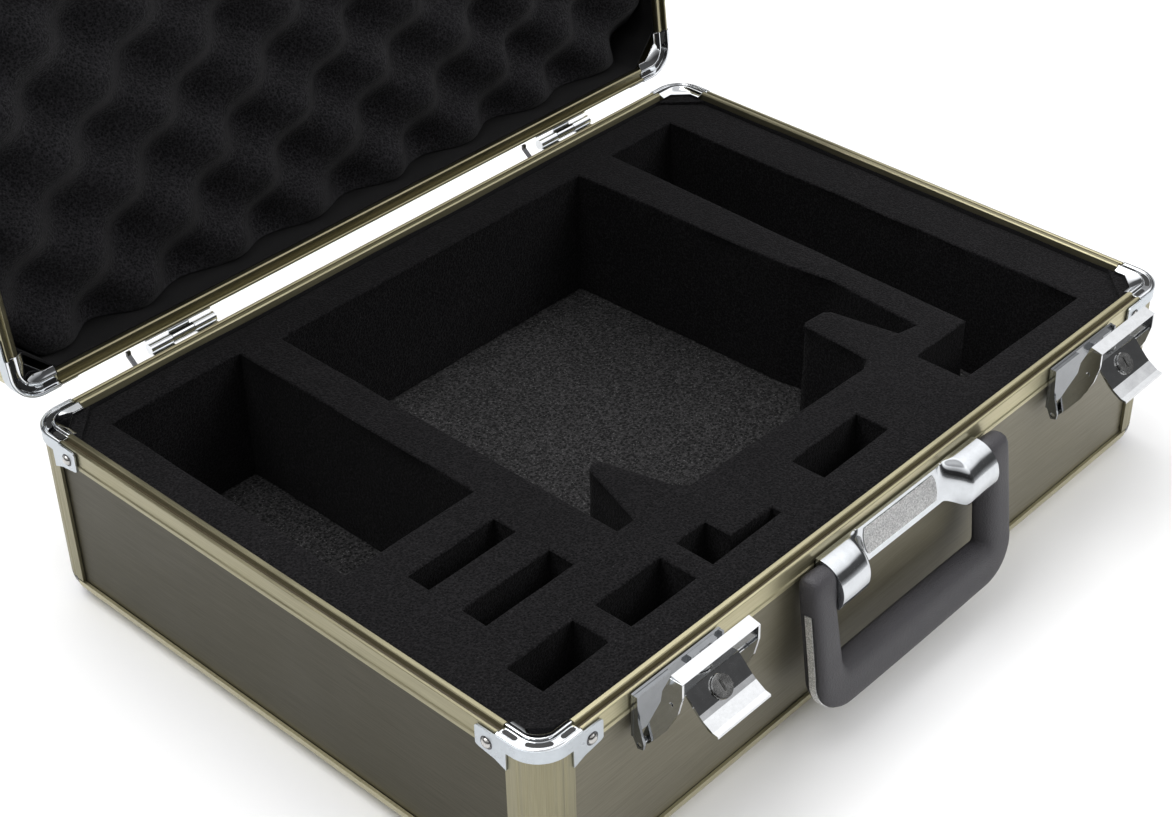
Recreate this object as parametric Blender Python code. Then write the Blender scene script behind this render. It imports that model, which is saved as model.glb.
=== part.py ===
"""Aluminium-framed carrying case with its lid open: panels held in extruded rails and posts,
pressed corner caps, cut foam, two hinges, two key latches and a swinging handle.

Frame: metres, +Z up. The origin is the centre of the base's underside. +X runs along the front,
towards the right latch, and +Y runs from the front (latches, handle) to the hinges.
"""

import math

import bmesh
import bpy
from mathutils import Matrix, Vector

# ---------------------------------------------------------------- driving dimensions (metres)
CASE_W = 0.460  # outside, along X
CASE_D = 0.330  # outside, along Y
BASE_H = 0.100  # floor to the rim's outer lip
LID_H = 0.050  # rim's outer lip to the lid's top
GAP = 0.0003  # running gap between touching pieces
SEAM = 0.0003  # gap between the two rims when the lid is shut
CORNER_R = 0.015  # plan radius of the vertical corners

RIM_T = 0.007  # width of the rim rail, seen from above
RIM_H = 0.0114  # height of the rim's outside band
LIP_RISE = 0.0010  # base's inner lip above its outer lip
LIP_SINK = 0.0013  # lid's inner band below its outer lip
FLANGE = 0.0015  # thickness of an extrusion's outer flange
PANEL_IN = 0.0018  # outer face of a side panel, in from the case's outside
PANEL_T = 0.0037  # thickness of a side panel
PANEL_END = 0.0165  # end of a side panel, from the corner
POST_LAND = 0.0195  # how far a post's flange reaches from the corner
POST_CORE = 0.0162  # how far a post's solid core reaches from the corner
POST_TOP = 0.0030  # top of a post below the rim's outer lip
EDGE_R = 0.012  # radius of the rounded bottom and top edges
FRAME_IN = 0.020  # inner edge of the edge frame's hidden flange
FLOOR_T = 0.0055  # thickness of the bottom and top panels

CAP_RUN = 0.0237  # how far a cap covers the rim, from the corner
CAP_SKIN = 0.0008  # thickness of a cap's sheet
CAP_BAND = 0.0075  # height of a cap's band round the corner
TAB_FROM = 0.018
TAB_TO = 0.035
TAB_H = 0.016
CHAMFER = 0.018  # legs of the foam's cut corners
BALL_R = 0.015
BALL_H = 0.0125

HINGE_Y = 0.1702
HINGE_X = 0.1365
HINGE_L = 0.040
KNUCKLE_R = 0.0028
PIN_R = 0.0012
LEAF_T = 0.0011
LEAF_H = 0.016
LID_OPEN = math.radians(96)

LATCH_X = 0.1512
LATCH_W = 0.054
LATCH_H = 0.0290
BAIL_W = 0.048
BAIL_L = 0.0478  # pivot to the hook's top
BAIL_PIN_R = 0.0010
LATCH_PIVOT_OUT = 0.0045  # bail's pivot, out from the plate's back
BAIL_LEAN = math.radians(22.6)
LEVER_W = 0.033
LEVER_L = 0.0215
LEVER_LEAN = math.radians(74)  # swing of the lever away from its flat, shut place
LEVER_PIVOT_Y = -0.0018  # lever's pin in the bail's frame
LEVER_PIVOT_Z = 0.0326
LEVER_PIN_R = 0.0008
KEY_R = 0.0052
KEY_DROP = 0.0063  # lever's pin to the lock's centre
KEY_FACE = math.radians(7)  # tilt of the lock's face in the lever
LATCH_PIVOT_DROP = 0.0265  # bail's pivot below the rim's outer lip

BRACKET_W = 0.118
HOOD_R = 0.014
HOOD_Y = 0.0042  # centre of the hood's round section from the grip's axis
HOOD_Z = -0.0070
GRIP_W = 0.146
GRIP_H = 0.0715  # grip's axis to the loop's lowest edge
GRIP_LEAN = math.radians(7.5)
GRIP_Y = -0.1722
GRIP_Z = 0.0880
GRIP_PIN_R = 0.0025
ARM_HALF = 0.0070  # half the width of a grip arm
BAR_HALF = 0.0120  # half the height of the grip's bar
ARM_DEEP = 0.0060  # half the thickness of the loop

FOAM_TOP = 0.096
POCKET_FLOOR = 0.0215
FOAM_BOTTOM = 0.0080
FOAM_SIDE = 0.0077  # the foam block's side, in from the case's outside
LID_FOAM_PEAK = 0.0095  # foam's nearest face to the rim plane
LID_FOAM_BACK = 0.0420

HALF_W = CASE_W / 2
HALF_D = CASE_D / 2
FRONT_Y = -HALF_D - GAP  # plane that the front fittings are screwed against

# ---------------------------------------------------------------- foam pockets, plan in metres
POCKETS = {
    "large_left": [(-0.2023, -0.0224), (-0.1255, -0.0224), (-0.1255, 0.140), (-0.2023, 0.140)],
    "centre": [
        (-0.1030, 0.1355), (-0.1030, -0.0895), (-0.0926, -0.0895), (-0.0790, -0.0500),
        (-0.0750, -0.0475), (-0.0705, -0.0490), (-0.0620, -0.0860), (-0.0570, -0.0915),
        (0.0680, -0.0950), (0.0755, -0.0910), (0.0780, -0.0505), (0.0815, -0.0485),
        (0.0945, -0.0495), (0.0975, -0.0525), (0.1046, -0.0890), (0.1162, -0.0917),
        (0.1202, -0.0347), (0.1159, -0.0086), (0.1120, 0.1355),
    ],
    "long_right": [
        (0.1410, 0.1370), (0.1360, -0.1083), (0.0945, -0.1083), (0.0945, -0.1360),
        (0.1910, -0.1380), (0.1910, 0.1370),
    ],
    "slot_a": [(-0.1852, -0.0563), (-0.1333, -0.0563), (-0.1333, -0.0434), (-0.1852, -0.0434)],
    "slot_b": [(-0.1850, -0.0905), (-0.1325, -0.0905), (-0.1325, -0.0765), (-0.1850, -0.0765)],
    "small_c": [(-0.1975, -0.1353), (-0.1587, -0.1353), (-0.1587, -0.1151), (-0.1975, -0.1151)],
    "small_d": [(-0.1452, -0.1358), (-0.1043, -0.1358), (-0.1043, -0.1158), (-0.1452, -0.1158)],
    "small_e": [
        (-0.0918, -0.1350), (-0.0445, -0.1345), (-0.0445, -0.1295), (-0.0725, -0.1290),
        (-0.0725, -0.1142), (-0.0918, -0.1142),
    ],
    "small_f": [(-0.0120, -0.1335), (0.0363, -0.1330), (0.0363, -0.1152), (-0.0120, -0.1152)],
}

# corner name: (which end of X, which end of Y, quarter turns from the front left corner)
CORNERS = {"front_left": (-1, -1, 0), "front_right": (1, -1, 1), "back_right": (1, 1, 2), "back_left": (-1, 1, 3)}
# side name: (quarter turns from the front, length of the side, distance of the side from the centre)
SIDES = {
    "front": (0, CASE_W, HALF_D),
    "right": (1, CASE_D, HALF_W),
    "back": (2, CASE_W, HALF_D),
    "left": (3, CASE_D, HALF_W),
}


# ---------------------------------------------------------------- tools
def clear_scene():
    for item in list(bpy.data.objects):
        bpy.data.objects.remove(item, do_unlink=True)


def material(name, colour, roughness, metallic=0.0):
    made = bpy.data.materials.new(name)
    made.use_nodes = True
    shader = made.node_tree.nodes["Principled BSDF"]
    shader.inputs["Base Color"].default_value = (*colour, 1.0)
    shader.inputs["Roughness"].default_value = roughness
    shader.inputs["Metallic"].default_value = metallic
    made.diffuse_color = (*colour, 1.0)
    return made


def to_mesh(form, name, smooth=None):
    """Turns a bmesh into a mesh with its faces out; smooth is the sharp angle in degrees."""
    bmesh.ops.recalc_face_normals(form, faces=form.faces)
    mesh = bpy.data.meshes.new(name)
    form.to_mesh(mesh)
    form.free()
    if smooth is not None:
        mesh.shade_smooth()
        mesh.set_sharp_from_angle(angle=math.radians(smooth))
    return mesh


def add(name, mesh, look, matrix=None, parent=None):
    """Adds one named piece; matrix places it in its parent's frame."""
    item = bpy.data.objects.new(name, mesh)
    bpy.context.scene.collection.objects.link(item)
    if not mesh.materials:
        mesh.materials.append(look)
    item.parent = parent
    item.matrix_local = matrix or Matrix()
    return item


def axis_empty(name, matrix, parent=None):
    item = bpy.data.objects.new(name, None)
    bpy.context.scene.collection.objects.link(item)
    item.parent = parent
    item.matrix_local = matrix
    return item


def prism(outline, low, high):
    """A closed prism: a plan outline raised from low to high."""
    form = bmesh.new()
    face = form.faces.new([form.verts.new((x, y, low)) for x, y in outline])
    raised = bmesh.ops.extrude_face_region(form, geom=[face])
    tops = [item for item in raised["geom"] if isinstance(item, bmesh.types.BMVert)]
    bmesh.ops.translate(form, verts=tops, vec=(0, 0, high - low))
    return form


def block(low, high):
    """A closed box between two corners."""
    return prism([(low[0], low[1]), (high[0], low[1]), (high[0], high[1]), (low[0], high[1])], low[2], high[2])


def bar(profile, start, end):
    """A closed bar: a (y, z) profile run along X from start to end."""
    form = prism(profile, start, end)
    bmesh.ops.transform(form, matrix=Matrix(((0, 0, 1, 0), (1, 0, 0, 0), (0, 1, 0, 0), (0, 0, 0, 1))), verts=form.verts)
    return form


def rod(radius, start, end, y=0.0, z=0.0, sides=20):
    """A closed round bar along X."""
    ring = [(y + radius * math.cos(a), z + radius * math.sin(a)) for a in turn(0, 360, sides)[:-1]]
    return bar(ring, start, end)


def turn(first, last, steps):
    """Angles in radians from first to last degrees, both included."""
    return [math.radians(first + (last - first) * i / steps) for i in range(steps + 1)]


def arc(centre, radius, first, last, steps):
    return [(centre[0] + radius * math.cos(a), centre[1] + radius * math.sin(a)) for a in turn(first, last, steps)]


def loft(rings, closed=False):
    """A closed body through rings with the same number of points; closed joins the last to the first."""
    form = bmesh.new()
    rows = [[form.verts.new(point) for point in ring] for ring in rings]
    pairs = list(zip(rows, rows[1:] + rows[:1])) if closed else list(zip(rows, rows[1:]))
    for near, far in pairs:
        for i in range(len(near)):
            j = (i + 1) % len(near)
            form.faces.new((near[i], near[j], far[j], far[i]))
    if not closed:
        form.faces.new(rows[0][::-1])
        form.faces.new(rows[-1])
    return form


def fuse(name, parts, holes=(), smooth=None):
    """One mesh from overlapping closed forms, with the holes cut out of it."""
    scene = bpy.context.scene.collection.objects
    made = []
    for index, form in enumerate(list(parts) + list(holes)):
        piece = bpy.data.objects.new(f"{name}_{index}", to_mesh(form, f"{name}_{index}"))
        scene.link(piece)
        made.append(piece)
    body = made[0]
    for index, piece in enumerate(made[1:], start=1):
        step = body.modifiers.new(piece.name, "BOOLEAN")
        step.operation = "UNION" if index < len(parts) else "DIFFERENCE"
        step.solver = "EXACT"
        step.object = piece
    bpy.context.view_layer.update()
    solid = bpy.data.meshes.new_from_object(body.evaluated_get(bpy.context.evaluated_depsgraph_get()))
    for piece in made:
        bpy.data.objects.remove(piece, do_unlink=True)
    solid.name = name
    solid.materials.clear()
    if smooth is not None:
        solid.shade_smooth()
        solid.set_sharp_from_angle(angle=math.radians(smooth))
    return solid


def corner_place(name, z, flip=False):
    """Puts a piece modelled at the front left corner, growing to +X and +Y, at a corner of the case.

    flip turns the piece over about the corner's diagonal, for the lid."""
    end_x, end_y, quarters = CORNERS[name]
    place = Matrix.Translation((end_x * HALF_W, end_y * HALF_D, z))
    place = place @ Matrix.Rotation(quarters * math.pi / 2, 4, "Z")
    if flip:
        place = place @ Matrix.Rotation(math.pi, 4, Vector((1, 1, 0)).normalized())
    return place


def side_place(name, z, flip=False):
    """Puts a piece modelled on the front, with +Y going into the case, on a side of the case."""
    quarters, _, distance = SIDES[name]
    place = Matrix.Rotation(quarters * math.pi / 2, 4, "Z") @ Matrix.Translation((0, -distance, z))
    if flip:
        place = place @ Matrix.Scale(-1, 4, (0, 0, 1))
    return place


# ---------------------------------------------------------------- shell profiles
def rim_profile(inner_rise):
    """Section of a rim rail: (inward, up) from the outer face and the outer lip."""
    return [
        (0.0004, -RIM_H), (0.0, -RIM_H + 0.0004), (0.0, -0.0090), (0.0006, -0.0084),
        (0.0006, -0.0016), (0.0002, -0.0011), (0.0002, -0.0003), (0.0005, 0.0), (0.0014, 0.0),
        (0.0018, -0.0004), (0.0018, -0.0024), (0.0042, -0.0024), (0.0042, inner_rise - 0.0004),
        (0.0046, inner_rise), (0.0064, inner_rise), (RIM_T, inner_rise - 0.0006),
        (RIM_T, -RIM_H), (0.0058, -RIM_H), (0.0058, -0.0040), (FLANGE, -0.0040), (FLANGE, -RIM_H),
    ]


def edge_profile():
    """Section of the rounded edge frame: (inward, up) from the outer face and the underside."""
    rounded = arc((EDGE_R, EDGE_R), EDGE_R, 180, 270, 6)
    hidden = [
        (EDGE_R, FLOOR_T + GAP), (FRAME_IN, FLOOR_T + GAP), (FRAME_IN, FLOOR_T + 0.0018),
        (RIM_T, FLOOR_T + 0.0018), (RIM_T, EDGE_R), (0.0058, EDGE_R), (0.0058, 0.0064),
        (FLANGE, 0.0064), (FLANGE, EDGE_R),
    ]
    return rounded + hidden


def post_outline(inset=0.0):
    """Plan of a corner post, with shallow ribs on its round face."""
    ribs = []
    for index, angle in enumerate(turn(270, 180, 18)):
        depth = 0.0004 if index % 3 == 1 and 0 < index < 18 else 0.0
        reach = CORNER_R - depth - inset
        ribs.append((CORNER_R + reach * math.cos(angle), CORNER_R + reach * math.sin(angle)))
    side = [
        (inset, POST_LAND), (FLANGE - inset, POST_LAND), (FLANGE - inset, POST_CORE),
        (0.0058 + inset, POST_CORE), (0.0058 + inset, POST_LAND), (RIM_T - inset, POST_LAND),
        (RIM_T - inset, RIM_T - inset),
    ]
    other = [(y, x) for x, y in reversed(side[:-1])]
    return ribs + side + other


def edge_ring(name, top_down_posts=None):
    """The mitred edge frame with its corners cut away for the ball corners."""
    profile = edge_profile()
    rings = [
        [(sx * (HALF_W - inward), sy * (HALF_D - inward), up) for inward, up in profile]
        for sx, sy, _ in CORNERS.values()
    ]
    reach = BALL_R + GAP
    cuts = []
    for sx, sy, _ in CORNERS.values():
        outer = (sx * (HALF_W + 0.005), sy * (HALF_D + 0.005))
        inner = (sx * (HALF_W - reach), sy * (HALF_D - reach))
        low = (min(outer[0], inner[0]), min(outer[1], inner[1]), -0.005)
        high = (max(outer[0], inner[0]), max(outer[1], inner[1]), BALL_H + GAP)
        cuts.append(block(low, high))
    return fuse(name, [loft(rings, closed=True)] + (top_down_posts or []), cuts, smooth=30)


def cap_mesh(name, inner_rise):
    """A pressed rim cap: top plate, raised inner band, skirt round the corner and two riveting tabs."""
    centre = (CORNER_R, CORNER_R)
    skin_in = -GAP
    skin_out = -GAP - CAP_SKIN
    chord = RIM_T + CHAMFER  # the cut corner runs from (chord, RIM_T) to (RIM_T, chord)
    end_y = RIM_T + chord - CAP_RUN
    round_out = arc(centre, CORNER_R - skin_out, 270, 180, 10)
    plate = [(CAP_RUN, skin_out)] + round_out + [(skin_out, CAP_RUN), (end_y, CAP_RUN), (CAP_RUN, end_y)]
    band_out = [(CAP_RUN, 0.0042)] + arc(centre, CORNER_R - 0.0042, 270, 180, 8) + [(0.0042, CAP_RUN)]
    band_in = [(0.0068, CAP_RUN)] + arc(centre, CORNER_R - 0.0068, 180, 270, 8) + [(CAP_RUN, 0.0068)]
    skirt_in = [(skin_in, TAB_FROM)] + arc(centre, CORNER_R - skin_in, 180, 270, 10) + [(TAB_FROM, skin_in)]
    skirt_out = [(TAB_FROM, skin_out)] + round_out + [(skin_out, TAB_FROM)]
    low_tab = [(TAB_FROM - 0.001, -TAB_H), (TAB_TO, -TAB_H + 0.003), (TAB_TO, -0.001), (TAB_FROM - 0.001, -0.001)]
    tab_x = prism(low_tab, -skin_in, -skin_out)
    bmesh.ops.transform(tab_x, matrix=Matrix.Rotation(math.pi / 2, 4, "X"), verts=tab_x.verts)
    tab_y = tab_x.copy()
    swap = Matrix(((0, 1, 0, 0), (1, 0, 0, 0), (0, 0, 1, 0), (0, 0, 0, 1)))
    bmesh.ops.transform(tab_y, matrix=swap, verts=tab_y.verts)
    parts = [
        prism(plate, -0.0020, 0.0),
        prism(skirt_out + skirt_in, -CAP_BAND, -0.0012),
        tab_x,
        tab_y,
    ]
    if inner_rise > 0:
        parts.append(prism(band_out + band_in, -0.0010, inner_rise))
        return fuse(name, parts, smooth=35)
    past = CAP_RUN + 0.001
    recess = [(past, 0.0041)] + arc(centre, CORNER_R - 0.0041, 270, 180, 8) + [(0.0041, past), (past, past)]
    return fuse(name, parts, [prism(recess, inner_rise, 0.001)], smooth=35)


def ball_mesh(name):
    """One eighth of a ball, closed by its three flat faces."""
    steps = 7
    form = bmesh.new()
    rows = []
    for rise in turn(0, 90, steps)[:-1]:
        row = []
        for spin in turn(0, 90, steps):
            out = math.cos(rise)
            row.append(form.verts.new((
                BALL_R - BALL_R * out * math.cos(spin),
                BALL_R - BALL_R * out * math.sin(spin),
                BALL_H - BALL_H * math.sin(rise),
            )))
        rows.append(row)
    tip = form.verts.new((BALL_R, BALL_R, 0.0))
    heart = form.verts.new((BALL_R, BALL_R, BALL_H))
    for near, far in zip(rows, rows[1:]):
        for i in range(steps):
            form.faces.new((near[i], near[i + 1], far[i + 1], far[i]))
    for i in range(steps):
        form.faces.new((rows[-1][i], rows[-1][i + 1], tip))
    form.faces.new(rows[0][::-1] + [heart])
    form.faces.new([row[0] for row in rows] + [tip, heart])
    form.faces.new([row[-1] for row in reversed(rows)] + [heart, tip])
    return to_mesh(form, name, smooth=40)


# ---------------------------------------------------------------- shells
def side_panel(name, half, bottom, top, look, place, parent=None):
    low = (-half, PANEL_IN, bottom)
    high = (half, PANEL_IN + PANEL_T, top)
    add(name, to_mesh(block(low, high), name), look, place, parent)


def build_base(looks):
    frame_top = 0.0067
    rim_seat = BASE_H - 0.0043
    for side, (_, length, _) in SIDES.items():
        half = length / 2 - PANEL_END
        side_panel(f"base_panel_{side}", half, frame_top, rim_seat, looks["laminate"], side_place(side, 0.0))
        rail = bar(rim_profile(LIP_RISE), -length / 2 + CAP_RUN + GAP, length / 2 - CAP_RUN - GAP)
        name = f"base_rim_rail_{side}"
        add(name, to_mesh(rail, name, smooth=30), looks["champagne"], side_place(side, BASE_H))
    inset = EDGE_R + GAP
    floor = block((-HALF_W + inset, -HALF_D + inset, 0.0), (HALF_W - inset, HALF_D - inset, FLOOR_T))
    corner = BALL_R + 2 * GAP
    cuts = []
    for sx, sy, _ in CORNERS.values():
        xs = sorted((sx * (HALF_W - corner), sx * HALF_W))
        ys = sorted((sy * (HALF_D - corner), sy * HALF_D))
        cuts.append(block((xs[0], ys[0], -0.001), (xs[1], ys[1], FLOOR_T + 0.001)))
    add("base_panel_bottom", fuse("base_panel_bottom", [floor], cuts), looks["laminate"])
    add("base_bottom_frame", edge_ring("base_bottom_frame"), looks["champagne"])
    cap = cap_mesh("base_cap", LIP_RISE)
    ball = ball_mesh("ball_corner")
    post = to_mesh(prism(post_outline(), BALL_H + GAP, BASE_H - POST_TOP), "base_post", smooth=30)
    for corner_name in CORNERS:
        add(f"base_post_{corner_name}", post, looks["champagne"], corner_place(corner_name, 0.0))
        add(f"base_rim_cap_{corner_name}", cap, looks["chrome"], corner_place(corner_name, BASE_H))
        add(f"base_ball_corner_{corner_name}", ball, looks["grey_plastic"], corner_place(corner_name, 0.0))


def foam_outline(side):
    """The case's inside with its cut corners."""
    x = HALF_W - side
    y = HALF_D - side
    cut = CHAMFER
    return [
        (-x + cut, -y), (x - cut, -y), (x, -y + cut), (x, y - cut),
        (x - cut, y), (-x + cut, y), (-x, y - cut), (-x, -y + cut),
    ]


def build_foam(looks):
    side = FOAM_SIDE + 0.0005
    block_form = prism(foam_outline(side), FOAM_BOTTOM, FOAM_TOP)
    holes = [prism(outline, POCKET_FLOOR, FOAM_TOP + 0.01) for outline in POCKETS.values()]
    add("base_foam_block", fuse("base_foam_block", [block_form], holes), looks["foam"])


def build_lid(looks):
    """The lid is modelled shut, in the frame of its hinge axis, and the axis holds it open."""
    axis = axis_empty("lid_axis", Matrix.Translation((0, HINGE_Y, BASE_H)) @ Matrix.Rotation(-LID_OPEN, 4, "X"))
    shut = Matrix.Translation((0, -HINGE_Y, SEAM))
    for side, (_, length, _) in SIDES.items():
        half = length / 2 - PANEL_END
        place = shut @ side_place(side, 0.0)
        side_panel(f"lid_panel_{side}", half, 0.0043, LID_H - 0.0067, looks["laminate"], place, axis)
        rail = bar(
            [(inward, -up) for inward, up in rim_profile(-LIP_SINK)],
            -length / 2 + CAP_RUN + GAP,
            length / 2 - CAP_RUN - GAP,
        )
        name = f"lid_rim_rail_{side}"
        add(name, to_mesh(rail, name, smooth=30), looks["champagne"], place, axis)
    inset = EDGE_R + GAP
    top = block((-HALF_W + inset, -HALF_D + inset, LID_H - FLOOR_T), (HALF_W - inset, HALF_D - inset, LID_H))
    corner = BALL_R + 2 * GAP
    cuts = []
    for sx, sy, _ in CORNERS.values():
        xs = sorted((sx * (HALF_W - corner), sx * HALF_W))
        ys = sorted((sy * (HALF_D - corner), sy * HALF_D))
        cuts.append(block((xs[0], ys[0], LID_H - FLOOR_T - 0.001), (xs[1], ys[1], LID_H + 0.001)))
    add("lid_panel_top", fuse("lid_panel_top", [top], cuts), looks["laminate"], shut, axis)

    posts = []
    for corner_name in CORNERS:
        post = prism(post_outline(0.00012), 0.0095, LID_H - POST_TOP)
        bmesh.ops.transform(post, matrix=corner_place(corner_name, 0.0), verts=post.verts)
        posts.append(post)
    over = shut @ Matrix.Translation((0, 0, LID_H)) @ Matrix.Rotation(math.pi, 4, "X")
    add("lid_edge_frame", edge_ring("lid_edge_frame", posts), looks["champagne"], over, axis)
    cap = cap_mesh("lid_cap", -LIP_SINK)
    ball = bpy.data.meshes["ball_corner"]
    for corner_name in CORNERS:
        cap_at = shut @ corner_place(corner_name, 0.0, flip=True)
        ball_at = shut @ corner_place(corner_name, LID_H, flip=True)
        add(f"lid_rim_cap_{corner_name}", cap, looks["chrome"], cap_at, axis)
        add(f"lid_ball_corner_{corner_name}", ball, looks["grey_plastic"], ball_at, axis)

    foam = prism(foam_outline(FOAM_SIDE + 0.0005), LID_FOAM_PEAK, LID_FOAM_BACK)
    add("lid_foam_sheet", to_mesh(foam, "lid_foam_sheet"), looks["foam"], shut, axis)
    build_catches(looks, axis, shut)
    return axis


def build_catches(looks, axis, shut):
    """The pressed catches on the lid's front that the latch hooks pull down."""
    y = FRONT_Y
    profile = [
        (y, 0.0040), (y, 0.0300), (y - 0.0012, 0.0300), (y - 0.0012, 0.0150), (y - 0.0076, 0.0150),
        (y - 0.0076, 0.0172), (y - 0.0088, 0.0172), (y - 0.0088, 0.0138), (y - 0.0012, 0.0125), (y - 0.0012, 0.0040),
    ]
    mesh = to_mesh(bar(profile, -0.019, 0.019), "lid_catch", smooth=30)
    for side, sign in (("left", -1), ("right", 1)):
        add(f"lid_catch_{side}", mesh, looks["chrome"], shut @ Matrix.Translation((sign * LATCH_X, 0, 0)), axis)


# ---------------------------------------------------------------- fittings
def hinge_leaf(name, spans, up, bore):
    """A leaf in the hinge axis's frame: plate, tongues and knuckles at spans; up is 1 for the lid's."""
    back = HALF_D + GAP - HINGE_Y
    lap = 0.0002  # how far joined parts run into each other
    tongue = sorted((up * (KNUCKLE_R - LEAF_T - lap), up * (KNUCKLE_R - lap)))
    plate = sorted((up * (KNUCKLE_R - LEAF_T), up * LEAF_H))
    parts = [block((-HINGE_L / 2, back, plate[0]), (HINGE_L / 2, back + LEAF_T, plate[1]))]
    holes = []
    for start, end in spans:
        parts.append(block((start + lap, back + LEAF_T / 2, tongue[0]), (end - lap, 0.0, tongue[1])))
        parts.append(rod(KNUCKLE_R, start, end))
    if bore:
        holes = [rod(PIN_R + GAP, start - 0.001, end + 0.001) for start, end in spans]
    else:
        parts.append(rod(PIN_R, -HINGE_L / 2 + lap, HINGE_L / 2 - lap, sides=14))
    return fuse(name, parts, holes, smooth=30)


def build_hinges(looks, axis):
    third = HINGE_L / 6 + GAP / 2
    middle = [(-third + GAP, third - GAP)]
    ends = [(-HINGE_L / 2, -third), (third, HINGE_L / 2)]
    base_leaf = hinge_leaf("hinge_base_leaf", ends, -1, bore=False)
    lid_leaf = hinge_leaf("hinge_lid_leaf", middle, 1, bore=True)
    stop_y = HALF_D + GAP
    stop = [
        (stop_y, -0.0170), (stop_y + 0.0012, -0.0170), (stop_y + 0.0012, -0.0020), (HINGE_Y + 0.0012, 0.0020),
        (HINGE_Y + 0.0012, 0.0046), (HINGE_Y - 0.0002, 0.0046), (HINGE_Y - 0.0002, 0.0026), (stop_y, -0.0014),
    ]
    stop_mesh = to_mesh(bar(stop, -0.0011, 0.0011), "lid_stop")
    for side, sign in (("left", -1), ("right", 1)):
        at = Matrix.Translation((sign * HINGE_X, HINGE_Y, BASE_H))
        add(f"hinge_base_leaf_{side}", base_leaf, looks["chrome"], at)
        add(f"hinge_lid_leaf_{side}", lid_leaf, looks["chrome"], Matrix.Translation((sign * HINGE_X, 0, 0)), axis)
        stop_at = Matrix.Translation((sign * HINGE_X - 0.0315, 0, BASE_H))
        add(f"lid_stop_{side}", stop_mesh, looks["dark_steel"], stop_at)


def latch_plate():
    """Base plate with side cheeks, top flange, a box with two square eyes; (0, 0, 0) is the bail's pivot."""
    half = LATCH_W / 2
    top = LATCH_H - 0.0035
    back = LATCH_PIVOT_OUT
    inside = back - 0.0006
    cheek = [(inside, 0.0032), (0.0010, -0.0026), (-0.0020, -0.0018), (-0.0024, 0.0010), (0.0006, 0.0120)]
    cheek += [(0.0012, top - 0.0002), (inside, top - 0.0002)]
    parts = [block((-half, back - 0.0012, 0.0026), (half, back, top))]
    parts += [bar(cheek, start + 0.0001, start + 0.0013) for start in (-half, half - 0.0014)]
    parts.append(block((-half + 0.0008, 0.0014, top - 0.0016), (-half + 0.021, inside, top - 0.0003)))
    parts.append(block((half - 0.0215, 0.0006, top - 0.0052), (half - 0.0054, inside, top - 0.0001)))
    eye_low = (0.0, top - 0.0042)
    eye_high = (inside - 0.0010, top - 0.0013)
    holes = []
    for start in (half - 0.0203, half - 0.0131):
        holes.append(block((start, *eye_low), (start + 0.0052, *eye_high)))
    holes.append(rod(BAIL_PIN_R + GAP, -half - 0.001, -half + 0.002))
    holes.append(rod(BAIL_PIN_R + GAP, half - 0.002, half + 0.001))
    return fuse("latch_plate", parts, holes)


def latch_bail():
    """Two leaf-shaped arms, a cross wall and an inward hook; (0, 0, 0) is its pivot, +Z to the hook."""
    half = BAIL_W / 2
    leaf = [
        (-0.0008, -0.0015), (0.0008, -0.0015), (0.0016, -0.0006), (0.0023, 0.0060), (0.0026, 0.0290),
        (0.0043, 0.0350), (0.0043, BAIL_L - 0.0030), (-0.0016, BAIL_L - 0.0003), (-0.0046, 0.0405),
        (-0.0062, 0.0310), (-0.0058, 0.0175), (-0.0034, 0.0060), (-0.0015, -0.0008),
    ]
    wall = [(-0.0018, LEVER_PIVOT_Z + 0.0022), (-0.0006, LEVER_PIVOT_Z + 0.0022), (-0.0006, BAIL_L - 0.0008)]
    wall += [(-0.0018, BAIL_L - 0.0006)]
    hook = [
        (-0.0018, BAIL_L - 0.0014), (0.0034, BAIL_L - 0.0024), (0.0034, BAIL_L - 0.0034),
        (0.0045, BAIL_L - 0.0034), (0.0045, BAIL_L - 0.0012), (-0.0018, BAIL_L),
    ]
    pin = half + 0.0026
    parts = [
        bar(wall, -half + 0.0004, half - 0.0004),
        bar(leaf, -half, -half + 0.0012),
        bar(leaf, half - 0.0012, half),
        bar(hook, -half + 0.0002, half - 0.0002),
        rod(BAIL_PIN_R, half - 0.0004, pin, sides=12),
        rod(BAIL_PIN_R, -pin, -half + 0.0004, sides=12),
    ]
    holes = [
        rod(LEVER_PIN_R + GAP, -half - 0.001, -half + 0.002, y=LEVER_PIVOT_Y, z=LEVER_PIVOT_Z),
        rod(LEVER_PIN_R + GAP, half - 0.002, half + 0.001, y=LEVER_PIVOT_Y, z=LEVER_PIVOT_Z),
    ]
    return fuse("latch_bail", parts, holes)


def key_place():
    """The lock's centre and tilt in the lever's frame."""
    inward = KEY_DROP * math.sin(KEY_FACE)
    return Matrix.Translation((0, inward, -KEY_DROP * math.cos(KEY_FACE))) @ Matrix.Rotation(KEY_FACE, 4, "X")


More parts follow.
